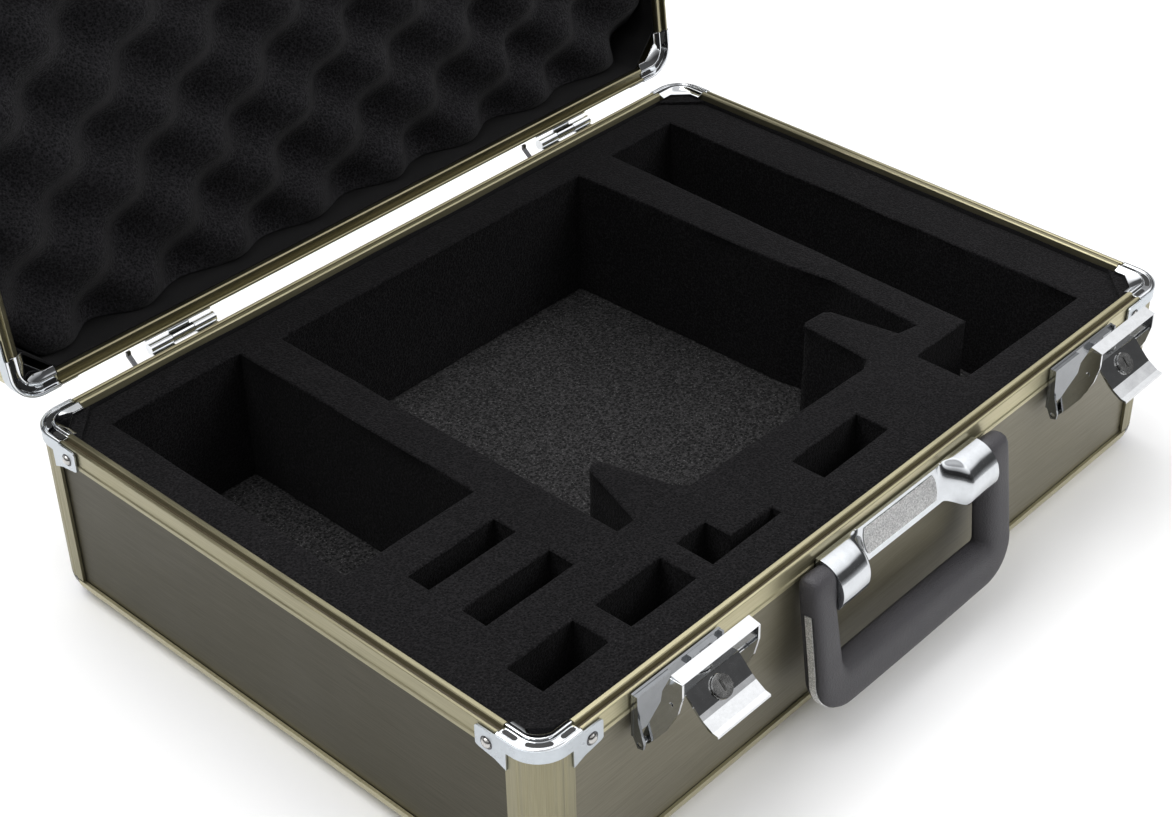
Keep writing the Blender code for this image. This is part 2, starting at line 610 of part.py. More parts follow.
def latch_lever():
    """The key lever: a bent plate hanging from its pin (0, 0, 0), with the lock's hole and a finger lip."""
    half = LEVER_W / 2
    bend = 0.0130
    dip = bend * math.tan(KEY_FACE)
    profile = [
        (0.0012, 0.0010), (0.0002, 0.0016), (-0.0010, 0.0013), (-0.0016, 0.0004),
        (-0.0016 + dip * 0.80, -bend * 0.80), (-0.0016 + dip * 0.86, -bend), (-0.0010, -LEVER_L + 0.0026),
        (-0.0024, -LEVER_L + 0.0002), (-0.0016, -LEVER_L - 0.0006), (0.0002, -LEVER_L + 0.0024),
        (-0.0004 + dip * 0.90, -bend), (-0.0004 + dip * 0.84, -bend * 0.80), (-0.0004, -0.0010), (0.0012, -0.0006),
    ]
    hole = rod(KEY_R + GAP, -0.01, 0.01, sides=24)
    bmesh.ops.transform(hole, matrix=key_place() @ Matrix.Rotation(math.pi / 2, 4, "Z"), verts=hole.verts)
    pin = BAIL_W / 2 + 0.0004
    return fuse("latch_lever", [bar(profile, -half, half), rod(LEVER_PIN_R, -pin, pin, sides=12)], [hole])


def key_cylinder():
    """Round lock face with a key slot; it turns about local Y."""
    plug = rod(KEY_R, -0.0010, 0.0030, sides=24)
    bmesh.ops.transform(plug, matrix=Matrix.Rotation(-math.pi / 2, 4, "Z"), verts=plug.verts)
    slot = block((-0.0006, -0.0060, -0.0030), (0.0006, -0.0016, 0.0030))
    return fuse("key_cylinder", [plug], [slot], smooth=40)


def build_latches(looks):
    plate = latch_plate()
    bail = latch_bail()
    lever = latch_lever()
    key = key_cylinder()
    pivot_y = FRONT_Y - LATCH_PIVOT_OUT
    pivot_z = BASE_H - LATCH_PIVOT_DROP
    for side, sign in (("left", -1), ("right", 1)):
        pivot = Matrix.Translation((sign * LATCH_X, pivot_y, pivot_z))
        add(f"latch_plate_{side}", plate, looks["chrome"], pivot)
        bail_axis = axis_empty(f"latch_bail_axis_{side}", pivot @ Matrix.Rotation(BAIL_LEAN, 4, "X"))
        add(f"latch_bail_{side}", bail, looks["chrome"], None, bail_axis)
        lever_at = Matrix.Translation((0, LEVER_PIVOT_Y, LEVER_PIVOT_Z)) @ Matrix.Rotation(-LEVER_LEAN, 4, "X")
        lever_axis = axis_empty(f"latch_lever_axis_{side}", lever_at, bail_axis)
        add(f"latch_lever_{side}", lever, looks["chrome"], None, lever_axis)
        add(f"key_cylinder_{side}", key, looks["steel"], key_place(), lever_axis)


def bracket_section(flat):
    """(y, z) section of the hood about the grip's axis; flat goes from 0, a round end, to 1, the scoop."""
    back = FRONT_Y - GRIP_Y
    steps = 12
    outer = []
    inner = []
    for index, angle in enumerate(turn(80, 215, steps)):
        share = index / steps
        round_y = HOOD_Y + HOOD_R * math.cos(angle)
        round_z = HOOD_Z + HOOD_R * math.sin(angle)
        flat_y = back - 0.0015 - 0.0050 * share
        flat_z = HOOD_Z + HOOD_R - 0.0003 - 0.0173 * share
        y = round_y * (1 - flat) + flat_y * flat
        z = round_z * (1 - flat) + flat_z * flat
        outer.append((y, z))
        inner.append((
            HOOD_Y + (y - HOOD_Y) * 0.88 + 0.0003 + 0.0006 * flat,
            HOOD_Z + (z - HOOD_Z) * 0.88 - 0.0003 + 0.0010 * flat * share,
        ))
    low = outer[-1][1] - 0.0002
    back_wall = [(back, outer[0][1]), (back, low), (back - 0.0011, low), (back - 0.0011, inner[0][1])]
    return outer[::-1] + back_wall + inner


def build_handle(looks):
    half = BRACKET_W / 2
    stations = [-half, -0.040, -0.036, -0.032, -0.029, 0.029, 0.032, 0.036, 0.040, half]
    flatness = [0, 0, 0.25, 0.75, 1, 1, 0.75, 0.25, 0, 0]
    rings = []
    for x, flat in zip(stations, flatness):
        rings.append([(x, y, z) for y, z in bracket_section(flat)])
    back = FRONT_Y - GRIP_Y
    cheek = [(back - 0.0002, HOOD_Z + HOOD_R - 0.0012)]
    cheek += arc((HOOD_Y, HOOD_Z), HOOD_R - 0.0006, 82, 213, 10)
    cheek += [(back - 0.0002, HOOD_Z - HOOD_R * 0.55)]
    ends = [bar(cheek, -half + 0.0002, -half + 0.0016), bar(cheek, half - 0.0016, half - 0.0002)]
    holes = [rod(GRIP_PIN_R + GAP, -half - 0.001, -half + 0.003), rod(GRIP_PIN_R + GAP, half - 0.003, half + 0.001)]
    at = Matrix.Translation((0, GRIP_Y, GRIP_Z))
    bracket = fuse("handle_bracket", [loft(rings)] + ends, holes, smooth=35)
    add("handle_bracket", bracket, looks["chrome"], at)
    axis = axis_empty("handle_axis", at @ Matrix.Rotation(-GRIP_LEAN, 4, "X"))
    add("handle_grip", grip_mesh(), looks["rubber"], None, axis)


def grip_mesh():
    """A soft loop open at the top, with a pin at the head of each arm; the pins lie along X."""
    half = GRIP_W / 2 - ARM_HALF
    low = -GRIP_H + BAR_HALF
    bend = 0.013
    head = ARM_DEEP
    stations = [(half, head, 0.0, 0.30), (half, head * 0.87, 0.0, 0.62), (half, head * 0.5, 0.0, 0.90)]
    stations += [(half, 0.0, 0.0, 1.0), (half, -0.020, 0.0, 1.0)]
    stations += [(half - bend + bend * math.cos(a), low + bend + bend * math.sin(a), a, 1.0) for a in turn(0, -90, 6)]
    mirrored = [(-x, z, -math.pi - angle, size) for x, z, angle, size in reversed(stations)]
    rings = []
    for x, z, angle, size in stations + mirrored:
        turned = abs(math.sin(angle))
        wide = (ARM_HALF + (BAR_HALF - ARM_HALF) * turned) * (0.55 + 0.45 * size)
        deep = ARM_DEEP * size
        out = Vector((math.cos(angle), 0, math.sin(angle)))
        ring = []
        for spin in turn(0, 360, 14)[:-1]:
            across = math.copysign(abs(math.cos(spin)) ** 0.7, math.cos(spin)) * wide
            depth = math.copysign(abs(math.sin(spin)) ** 0.7, math.sin(spin)) * deep
            ring.append(tuple(Vector((x, depth, z)) + out * across))
        rings.append(ring)
    inner = BRACKET_W / 2 - 0.016
    pins = [rod(GRIP_PIN_R, inner, half), rod(GRIP_PIN_R, -half, -inner)]
    return fuse("handle_grip", [loft(rings)] + pins, smooth=50)


def main():
    clear_scene()
    looks = {
        "laminate": material("laminate", (0.20, 0.19, 0.165), 0.42),
        "champagne": material("champagne_aluminium", (0.62, 0.58, 0.46), 0.34, 0.9),
        "chrome": material("chrome", (0.80, 0.81, 0.83), 0.10, 1.0),
        "grey_plastic": material("grey_plastic", (0.16, 0.16, 0.17), 0.5),
        "dark_steel": material("dark_steel", (0.10, 0.10, 0.10), 0.4, 0.8),
        "steel": material("steel", (0.66, 0.66, 0.66), 0.25, 1.0),
        "foam": material("black_foam", (0.035, 0.034, 0.037), 0.95),
        "rubber": material("grey_rubber", (0.075, 0.072, 0.078), 0.6),
    }
    build_base(looks)
    build_foam(looks)
    axis = build_lid(looks)
    build_hinges(looks, axis)
    build_latches(looks)
    build_handle(looks)


main()
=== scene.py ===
"""Looks for the aluminium-framed carrying case: materials, foam, detailed caps, latches and handle."""

import math

import bmesh
import bpy
from mathutils import Matrix, Vector, geometry, noise


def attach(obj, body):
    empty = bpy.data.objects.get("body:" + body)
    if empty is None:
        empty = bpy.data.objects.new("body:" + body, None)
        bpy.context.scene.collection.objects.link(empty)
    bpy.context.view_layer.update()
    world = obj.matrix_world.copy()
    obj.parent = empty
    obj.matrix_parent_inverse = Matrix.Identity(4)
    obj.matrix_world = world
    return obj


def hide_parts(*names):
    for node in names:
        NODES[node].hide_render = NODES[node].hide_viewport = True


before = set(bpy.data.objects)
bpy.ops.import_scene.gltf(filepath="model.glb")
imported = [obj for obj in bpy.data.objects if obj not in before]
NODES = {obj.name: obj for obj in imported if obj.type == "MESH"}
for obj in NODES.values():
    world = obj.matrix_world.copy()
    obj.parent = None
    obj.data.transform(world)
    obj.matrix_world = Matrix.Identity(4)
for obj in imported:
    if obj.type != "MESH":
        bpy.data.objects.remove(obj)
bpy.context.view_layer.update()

# ---------------------------------------------------------------- sizes in metres
HALF_W = 0.230  # half the rim's outer width
HALF_D = 0.165  # half the rim's outer depth
BASE_H = 0.100  # the base's rim above the floor
SEAM = 0.0003  # gap between the shut lid and the base
HINGE_Y = 0.1702  # the hinge pins' axis
LID_OPEN = math.radians(96)
CORNER_R = 0.015  # the rim's outer corners
FOAM_SIDE = 0.0082  # from the case's outside to the foam
CHAMFER = 0.018  # the foam's cut corners
FOAM_TOP = 0.0958
FOAM_EDGE = 0.0013  # round on the foam's top edges
POCKET_FLOOR = 0.0213
FOAM_BOTTOM = 0.0082
EGG_PITCH = 0.0548  # between peaks of the lid's foam
EGG_VALLEY = 0.0315  # depths of its dimples, peaks and back from the lid's rim
EGG_RISE = 0.0215
EGG_BACK = 0.0418
RIVET_PLACE = 0.0285  # rivets along a cap's tabs, from the corner
GROOVE_MIDDLE = 0.0030  # middle of the rim's groove, from the outside
HANDLE_PIVOT = (0, -0.1722, 0.0880)
SCOOP_IN = 0.0050  # lean and height of the scooped middle of the handle's bracket
SCOOP_DOWN = 0.0173
# outlines of the foam's pockets, seen from above
POCKETS = [
    [(-0.2023, -0.0224), (-0.1255, -0.0224), (-0.1255, 0.140), (-0.2023, 0.140)],
    [
        (-0.1030, 0.1355), (-0.1030, -0.0895), (-0.0926, -0.0895), (-0.0790, -0.0500),
        (-0.0750, -0.0475), (-0.0705, -0.0490), (-0.0620, -0.0860), (-0.0570, -0.0915),
        (0.0680, -0.0950), (0.0755, -0.0910), (0.0780, -0.0505), (0.0815, -0.0485),
        (0.0945, -0.0495), (0.0975, -0.0525), (0.1046, -0.0890), (0.1162, -0.0917),
        (0.1202, -0.0347), (0.1159, -0.0086), (0.1120, 0.1355),
    ],
    [
        (0.1410, 0.1370), (0.1360, -0.1083), (0.0945, -0.1083), (0.0945, -0.1360),
        (0.1910, -0.1380), (0.1910, 0.1370),
    ],
    [(-0.1852, -0.0563), (-0.1333, -0.0563), (-0.1333, -0.0434), (-0.1852, -0.0434)],
    [(-0.1850, -0.0905), (-0.1325, -0.0905), (-0.1325, -0.0765), (-0.1850, -0.0765)],
    [(-0.1975, -0.1353), (-0.1587, -0.1353), (-0.1587, -0.1151), (-0.1975, -0.1151)],
    [(-0.1452, -0.1358), (-0.1043, -0.1358), (-0.1043, -0.1158), (-0.1452, -0.1158)],
    [
        (-0.0918, -0.1350), (-0.0445, -0.1345), (-0.0445, -0.1295), (-0.0725, -0.1290),
        (-0.0725, -0.1142), (-0.0918, -0.1142),
    ],
    [(-0.0120, -0.1335), (0.0363, -0.1330), (0.0363, -0.1152), (-0.0120, -0.1152)],
]
# places a piece modelled in the shut lid's rim frame on the open lid
LID = (
    Matrix.Translation((0, HINGE_Y, BASE_H))
    @ Matrix.Rotation(-LID_OPEN, 4, "X")
    @ Matrix.Translation((0, -HINGE_Y, SEAM))
)


# ---------------------------------------------------------------- material tools
class Graph:
    """Short calls for building one material's nodes."""

    def __init__(self, name):
        self.material = bpy.data.materials.new(name)
        self.material.use_nodes = True
        self.tree = self.material.node_tree
        self.shader = self.tree.nodes["Principled BSDF"]

    def node(self, kind, **values):
        made = self.tree.nodes.new(kind)
        for key, value in values.items():
            if key in made.inputs:
                made.inputs[key].default_value = value
            else:
                setattr(made, key, value)
        return made

    def join(self, source, target):
        self.tree.links.new(source, target)

    def coords(self, scale):
        place = self.node("ShaderNodeTexCoord")
        mapped = self.node("ShaderNodeMapping")
        mapped.inputs["Scale"].default_value = scale
        self.join(place.outputs["Object"], mapped.inputs["Vector"])
        return mapped.outputs["Vector"]

    def noise(self, scale, size=1.0, detail=3.0, rough=0.55):
        made = self.node("ShaderNodeTexNoise", Scale=size, Detail=detail, Roughness=rough)
        self.join(self.coords(scale), made.inputs["Vector"])
        return made.outputs["Fac"]

    def cells(self, size, feature="F1", warp=(1, 1, 1)):
        made = self.node("ShaderNodeTexVoronoi", Scale=size)
        made.feature = feature
        self.join(self.coords(warp), made.inputs["Vector"])
        return made

    def ramp(self, source, stops):
        made = self.node("ShaderNodeValToRGB")
        points = made.color_ramp.elements
        while len(points) < len(stops):
            points.new(0.5)
        for point, (place, colour) in zip(points, stops):
            point.position = place
            point.color = (*colour, 1.0) if len(colour) == 3 else colour
        self.join(source, made.inputs["Fac"])
        return made.outputs["Color"]

    def grey(self, source, low, high, start=0.0, end=1.0):
        made = self.node("ShaderNodeMapRange")
        limits = {"From Min": start, "From Max": end, "To Min": low, "To Max": high}
        for key, value in limits.items():
            made.inputs[key].default_value = value
        self.join(source, made.inputs["Value"])
        return made.outputs["Result"]

    def mix(self, a, b, share, mode="MIX"):
        made = self.node("ShaderNodeMix", data_type="RGBA", blend_type=mode)
        made.inputs["Factor"].default_value = share
        self.join(a, made.inputs["A"])
        self.join(b, made.inputs["B"])
        return made.outputs["Result"]

    def maths(self, kind, a, b):
        made = self.node("ShaderNodeMath", operation=kind)
        for socket, value in zip(made.inputs, (a, b)):
            if isinstance(value, (int, float)):
                socket.default_value = value
            else:
                self.join(value, socket)
        return made.outputs["Value"]

    def bump(self, height, strength, distance, below=None):
        made = self.node("ShaderNodeBump", Strength=strength, Distance=distance)
        self.join(height, made.inputs["Height"])
        if below is not None:
            self.join(below, made.inputs["Normal"])
        return made.outputs["Normal"]

    def set(self, **values):
        for key, value in values.items():
            socket = self.shader.inputs[key.replace("_", " ")]
            if isinstance(value, bpy.types.NodeSocket):
                self.join(value, socket)
            else:
                socket.default_value = value
        return self.material


def anodised(name, along, shade=1.0, metal=0.82):
    """Champagne anodised extrusion: die lines along its length, soft cloudy wear; shade below 1 is
    painted shade.
    """
    graph = Graph(name)
    lines = [260.0, 260.0, 260.0]
    lines[along] = 3.0
    streak = graph.noise(lines, 8.0, 2.0, 0.6)
    cloud = graph.noise((1, 1, 1), 22.0, 3.0)
    dark = tuple(shade * c for c in (0.42, 0.385, 0.240))
    light = tuple(shade * c for c in (0.54, 0.500, 0.330))
    tint = graph.ramp(streak, [(0.30, dark), (0.70, light)])
    cloudy = graph.ramp(cloud, [(0.3, (0.90, 0.90, 0.90)), (0.7, (1.0, 1.0, 1.0))])
    rough = graph.grey(cloud, 0.30, 0.44, 0.3, 0.7)
    return graph.set(
        Base_Color=graph.mix(tint, cloudy, 1.0, "MULTIPLY"),
        Metallic=metal,
        Roughness=rough,
        Normal=graph.bump(streak, 0.22, 0.0002),
    )


def laminate(name, along, shade=1.0, metal=0.45, coat=0.15):
    """Bronze brushed foil on the panels, with a clear satin coat; shade below 1 is painted shade."""
    graph = Graph(name)
    lines = [420.0, 420.0, 420.0]
    lines[along] = 9.0
    streak = graph.noise(lines, 5.0, 2.0, 0.65)
    cloud = graph.noise((1, 1, 1), 9.0, 3.0)
    dark = tuple(shade * c for c in (0.124, 0.112, 0.074))
    light = tuple(shade * c for c in (0.172, 0.158, 0.110))
    tint = graph.ramp(streak, [(0.32, dark), (0.68, light)])
    cloudy = graph.ramp(cloud, [(0.3, (0.92, 0.92, 0.93)), (0.7, (1.0, 1.0, 0.98))])
    return graph.set(
        Base_Color=graph.mix(tint, cloudy, 1.0, "MULTIPLY"),
        Metallic=metal,
        Roughness=graph.grey(cloud, 0.40, 0.50, 0.3, 0.7),
        Coat_Weight=coat,
        Coat_Roughness=0.25,
        Normal=graph.bump(streak, 0.10, 0.0002),
    )


def chrome(name, tint=(0.80, 0.81, 0.83), rough=(0.05, 0.13)):
    """Plated pressed steel: faint waves from pressing and a few dull smears."""
    graph = Graph(name)
    wave = graph.noise((1, 1, 1), 90.0, 1.0)
    smear = graph.noise((1, 1, 1), 160.0, 4.0, 0.7)
    base = graph.ramp(smear, [(0.35, tuple(0.90 * c for c in tint)), (0.65, tint)])
    return graph.set(
        Base_Color=base,
        Metallic=1.0,
        Roughness=graph.grey(smear, rough[0], rough[1], 0.35, 0.75),
        Normal=graph.bump(wave, 0.12, 0.0006),
    )


def sandblasted(name):
    """Blasted metal: fine bright grit."""
    graph = Graph(name)
    grit = graph.noise((1, 1, 1), 1500.0, 2.0)
    base = graph.ramp(grit, [(0.35, (0.52, 0.52, 0.52)), (0.65, (0.98, 0.98, 0.97))])
    return graph.set(
        Base_Color=base,
        Metallic=0.9,
        Roughness=0.42,
        Normal=graph.bump(grit, 0.6, 0.0003),
    )


def foam(name, dark, light, cell, glint, lift):
    """Open-cell polyurethane foam: pores painted darker than the struts as painted shade, and scattered
    glints added to the colour as painted highlights.
    """
    graph = Graph(name)
    pores = graph.cells(cell)
    fine = graph.noise((1, 1, 1), cell * 1.9, 3.0, 0.7)
    cloud = graph.noise((1, 1, 1), 26.0, 3.0)
    depth = graph.maths("MULTIPLY", pores.outputs["Distance"], fine)
    # painted shade: the pores are darker than the struts
    body = graph.ramp(depth, [(0.08, dark), (0.42, light)])
    # painted highlights: scattered bright glints added to the colour
    sparkle = graph.ramp(fine, [(0.60, (0.0, 0.0, 0.0)), (0.78, glint)])
    cloudy = graph.ramp(cloud, [(0.25, (0.78, 0.78, 0.78)), (0.75, (1.0, 1.0, 1.0))])
    shaded = graph.mix(body, cloudy, 1.0, "MULTIPLY")
    return graph.set(
        Base_Color=graph.mix(shaded, sparkle, 1.0, "ADD"),
        Roughness=0.92,
        Specular_IOR_Level=0.06,
        Sheen_Weight=lift,
        Sheen_Roughness=0.6,
        Normal=graph.bump(depth, 0.85, 0.0009),
    )


def moulded(name, colour, rough, grain, depth):
    """Moulded rubber or plastic with a fine leathery grain."""
    graph = Graph(name)
    skin = graph.cells(grain, "SMOOTH_F1").outputs["Distance"]
    cloud = graph.noise((1, 1, 1), 60.0, 3.0)
    low = tuple(0.80 * c for c in colour)
    base = graph.ramp(cloud, [(0.3, low), (0.7, colour)])
    return graph.set(
        Base_Color=base,
        Roughness=graph.grey(cloud, rough - 0.05, rough + 0.06, 0.3, 0.7),
        Normal=graph.bump(skin, depth, 0.0004),
    )


def floor_look(name):
    """Pale studio floor with a faint cloud."""
    graph = Graph(name)
    cloud = graph.noise((1, 1, 1), 1.5, 2.0)
    base = graph.ramp(cloud, [(0.3, (0.90, 0.90, 0.905)), (0.7, (0.92, 0.92, 0.92))])
    return graph.set(Base_Color=base, Roughness=0.55, Specular_IOR_Level=0.2)


# the ends of the case, the posts and the lid's rails have darker copies of the front's looks: painted
# shade, not a different metal or foil
LOOKS = {
    "rail_x": anodised("champagne_along_x", 0),
    "rail_y": anodised("champagne_along_y", 1, 0.64),
    "lid_rail_x": anodised("lid_champagne_along_x", 0, 0.66, 1.0),
    "lid_rail_y": anodised("lid_champagne_along_y", 1, 0.66, 1.0),
    "rail_z": anodised("champagne_along_z", 2, 0.54),
    "panel_x": laminate("bronze_foil_along_x", 0),
    "panel_y": laminate("bronze_foil_along_y", 1, 0.42, 0.92, 0.0),
    "chrome": chrome("bright_chrome", (0.74, 0.76, 0.78), (0.03, 0.10)),
    "bracket": chrome("bracket_chrome", (0.58, 0.60, 0.62), (0.07, 0.16)),
    # the latch plate's chrome is darkened as painted shade for the recess between its cheeks
    "plate": chrome("shaded_chrome", (0.24, 0.25, 0.26), (0.10, 0.22)),
    "leaf": chrome("latch_chrome", (0.60, 0.61, 0.62), (0.04, 0.12)),
    "cap": chrome("cap_chrome", (0.50, 0.535, 0.565), (0.26, 0.40)),
    "rivet": chrome("rivet_steel", (0.52, 0.51, 0.49), (0.22, 0.34)),
    # dark steel for the hinge stops, also used as painted shade in the rings round the cap rivets
    "dark_steel": chrome("dark_steel", (0.10, 0.10, 0.105), (0.25, 0.40)),
    # dark look for the strips in the rims' grooves: painted shade
    "gasket": moulded("brown_gasket", (0.060, 0.046, 0.022), 0.45, 1400.0, 0.3),
    # near-black look for the floors of the cap slots and of the grip's groove: painted shade
    "slot": moulded("blackened_slot", (0.012, 0.012, 0.012), 0.55, 1400.0, 0.3),
    "lock": chrome("lock_steel", (0.62, 0.62, 0.61), (0.16, 0.30)),
    "sand": sandblasted("sandblasted_inlay"),
    "foam": foam(
        "foam_charcoal", (0.0018, 0.0018, 0.0021), (0.0120, 0.0114, 0.0124),
        780.0, (0.040, 0.039, 0.041), 0.02,
    ),
    "foam_floor": foam(
        "foam_floor", (0.0030, 0.0030, 0.0031), (0.043, 0.042, 0.043),
        620.0, (0.24, 0.24, 0.24), 0.04,
    ),
    # the lid's egg-crate foam is a lighter copy of the charcoal foam: painted light
    "egg": foam(
        "foam_egg_crate", (0.0036, 0.0036, 0.0042), (0.0220, 0.0212, 0.0236),
        760.0, (0.040, 0.039, 0.041), 0.05,
    ),
    "felt": foam(
        "liner_felt", (0.0030, 0.0030, 0.0034), (0.0080, 0.0076, 0.0084),
        2200.0, (0.004, 0.004, 0.004), 0.04,
    ),
    "ball": moulded("grey_corner_plastic", (0.115, 0.112, 0.112), 0.42, 900.0, 0.2),
    "grip": moulded("charcoal_grip", (0.043, 0.041, 0.046), 0.52, 1700.0, 0.7),
    "floor": floor_look("studio_floor"),
}


# ---------------------------------------------------------------- mesh tools
def keep(name, form, look, body, smooth=None):
    """Makes a shown piece from a bmesh, already in the row frame, riding on a body."""
    bmesh.ops.recalc_face_normals(form, faces=form.faces)
    mesh = bpy.data.meshes.new(name)
    form.to_mesh(mesh)
    form.free()
    if smooth is not None:
        mesh.shade_smooth()
        mesh.set_sharp_from_angle(angle=math.radians(smooth))
    item = bpy.data.objects.new(name, mesh)
    bpy.context.scene.collection.objects.link(item)
    mesh.materials.append(look)
    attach(item, body)
    return item


def move(form, matrix):
    bmesh.ops.transform(form, matrix=matrix, verts=form.verts)
    return form


def turn(first, last, steps):
    """Evenly spaced angles in radians between two given in degrees, both ends included."""
    return [math.radians(first + (last - first) * i / steps) for i in range(steps + 1)]


def loft(form, rings, closed=False):
    """Adds a body through rings with the same number of points to a bmesh."""
    rows = [[form.verts.new(point) for point in ring] for ring in rings]
    following = rows[1:] + rows[:1] if closed else rows[1:]
    for near, far in zip(rows, following):
        for i in range(len(near)):
            j = (i + 1) % len(near)
            form.faces.new((near[i], near[j], far[j], far[i]))
    if not closed:
        form.faces.new(rows[0][::-1])
        form.faces.new(rows[-1])


def soften(item, width, steps=2, angle=35):
    """A small round on the sharp edges of a CAD node or a piece."""
    bevel = item.modifiers.new("soft_edges", "BEVEL")
    bevel.width = width
    bevel.segments = steps
    bevel.limit_method = "ANGLE"
    bevel.angle_limit = math.radians(angle)
    bevel.harden_normals = False
    return bevel


def paint(look, name):
    item = NODES[name]
    item.data.materials.clear()
    item.data.materials.append(LOOKS[look])


# ---------------------------------------------------------------- foam
def case_outline(side, cut):
    """The case's outline, moved in by side, with its corners cut."""
    x = HALF_W - side
    y = HALF_D - side
    return [
        (-x + cut, -y), (x - cut, -y), (x, -y + cut), (x, y - cut),
        (x - cut, y), (-x + cut, y), (-x, y - cut), (-x, -y + cut),
    ]


def area(loop):
    return sum(a[0] * b[1] - b[0] * a[1] for a, b in zip(loop, loop[1:] + loop[:1])) / 2


def resample(loop, step):
    """Adds points along a closed outline, about one each step, and keeps its corners."""
    out = []
    for a, b in zip(loop, loop[1:] + loop[:1]):
        length = math.dist(a, b)
        count = max(1, round(length / step))
        for i in range(count):
            out.append((a[0] + (b[0] - a[0]) * i / count, a[1] + (b[1] - a[1]) * i / count))
    return out


def offset(loop, distance):
    """Moves a closed counter-clockwise outline outwards by distance."""
    out = []
    count = len(loop)
    for i in range(count):
        before = Vector(loop[i - 1])
        here = Vector(loop[i])
        after = Vector(loop[(i + 1) % count])
        first = (here - before).normalized()
        second = (after - here).normalized()
        n1 = Vector((first.y, -first.x))
        n2 = Vector((second.y, -second.x))
        mitre = (n1 + n2) / max(0.25, 1 + n1.dot(n2))
        out.append(tuple(here + mitre * distance))
    return out


def inside(point, loop):
    """Whether a point lies inside a closed outline."""
    x, y = point
    hit = False
    for (x1, y1), (x2, y2) in zip(loop, loop[1:] + loop[:1]):
        if (y1 > y) != (y2 > y) and x < (x2 - x1) * (y - y1) / (y2 - y1) + x1:
            hit = not hit
    return hit


def sway(x, y, z, size, amount):
    """A smooth, repeatable wander of a surface."""
    return noise.noise(Vector((x, y, z)) * size) * amount


def top_sway(x, y):
    return sway(x, y, 0, 30.0, 0.0006)


def foam_block():
    """The cut foam: softly rounded pocket edges, hand-cut walls and a slightly uneven top."""
    form = bmesh.new()
    outer = resample(case_outline(FOAM_SIDE, CHAMFER), 0.005)
    loops = [(outer, -1)]
    for pocket in POCKETS:
        ccw = pocket if area(pocket) > 0 else pocket[::-1]
        loops.append((resample(ccw, 0.004), 1))
    edge = FOAM_EDGE
    top_points = []
    top_edges = []
    top_verts = []
    rims = []
    bottom = POCKET_FLOOR + 0.0002
    levels = [bottom + (FOAM_TOP - edge - bottom) * i / 9 for i in range(10)]
    for loop, side in loops:
        rows = []
        for level in levels:
            row = []
            for (x, y), (ox, oy) in zip(loop, offset(loop, 1.0)):
                normal = Vector((ox - x, oy - y)).normalized() * side
                broad = sway(x, y, level * 0.35, 75.0, 0.0005)
                fine = sway(x, y, level * 2, 260.0, 0.00018)
                give = broad + fine - 0.0004
                row.append(form.verts.new((x + normal.x * -give, y + normal.y * -give, level)))
            rows.append(row)
        for share in (30, 60, 90):
            angle = math.radians(share)
            out = offset(loop, side * edge * (1 - math.cos(angle)))
            rise = FOAM_TOP - edge + edge * math.sin(angle)
            rows.append([form.verts.new((x, y, rise + top_sway(x, y))) for x, y in out])
        for near, far in zip(rows, rows[1:]):
            for i in range(len(near)):
                j = (i + 1) % len(near)
                form.faces.new((near[i], near[j], far[j], far[i]))
        start = len(top_points)
        flat = offset(loop, side * edge)
        rims.append(flat)
        top_points += [Vector(point) for point in flat]
        top_verts += rows[-1]
        top_edges += [(start + i, start + (i + 1) % len(flat)) for i in range(len(flat))]
    pitch = 0.0065
    for row in range(-24, 25):
        for column in range(-35, 36):
            point = ((column + 0.5 * (row % 2)) * pitch, row * pitch * 0.95)
            if not inside(point, rims[0]) or any(inside(point, rim) for rim in rims[1:]):
                continue
            if min(math.dist(point, near) for rim in rims for near in rim) < 0.0035:
                continue
            top_points.append(Vector(point))
            x, y = point
            top_verts.append(form.verts.new((x, y, FOAM_TOP + top_sway(x, y))))
    points, _, faces, origin, *_ = geometry.delaunay_2d_cdt(top_points, top_edges, [], 0, 1e-7)
    lookup = [top_verts[source[0]] for source in origin]
    for face in faces:
        middle = (sum(points[i].x for i in face) / 3, sum(points[i].y for i in face) / 3)
        if inside(middle, rims[0]) and not any(inside(middle, rim) for rim in rims[1:]):
            corner = [lookup[i] for i in face]
            if len(set(corner)) == 3:
                form.faces.new(corner)
    item = keep("foam_block_cut", form, LOOKS["foam"], "base", smooth=60)
    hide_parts("base_foam_block")


def foam_sheet():
    """The foam floor under the pockets."""
    form = bmesh.new()
    inset = FOAM_SIDE + 0.0005
    grid_x = 74
    grid_y = 52
    half_x = HALF_W - inset
    half_y = HALF_D - inset
    rows = []
    for j in range(grid_y + 1):
        row = []
        for i in range(grid_x + 1):
            x = half_x * (2 * i / grid_x - 1)
            y = half_y * (2 * j / grid_y - 1)
            x, y = chamfered(x, y, half_x, half_y)
            level = POCKET_FLOOR - 0.0006 + sway(x, y, 3.0, 45.0, 0.0006)
            row.append(form.verts.new((x, y, level)))
        rows.append(row)
    close_slab(form, rows, FOAM_BOTTOM)
    item = keep("foam_floor_sheet", form, LOOKS["foam_floor"], "base", smooth=60)


def chamfered(x, y, half_x, half_y):
    """Pulls the points beyond the cut corners back onto them."""
    over = abs(x) + abs(y) - (half_x + half_y - CHAMFER)
    if over > 0:
        x -= math.copysign(over / 2, x)
        y -= math.copysign(over / 2, y)
    return x, y


def close_slab(form, rows, base):
    """Faces for a grid of points, its sides and its flat base at height base."""
    for near, far in zip(rows, rows[1:]):
        for i in range(len(near) - 1):
            form.faces.new((near[i], near[i + 1], far[i + 1], far[i]))
    rim = rows[0][:-1] + [row[-1] for row in rows[:-1]]
    rim += rows[-1][:0:-1] + [row[0] for row in rows[:0:-1]]
    low = [form.verts.new((v.co.x, v.co.y, base)) for v in rim]
    for i in range(len(rim)):
        j = (i + 1) % len(rim)
        form.faces.new((rim[i], rim[j], low[j], low[i]))
    form.faces.new(low)


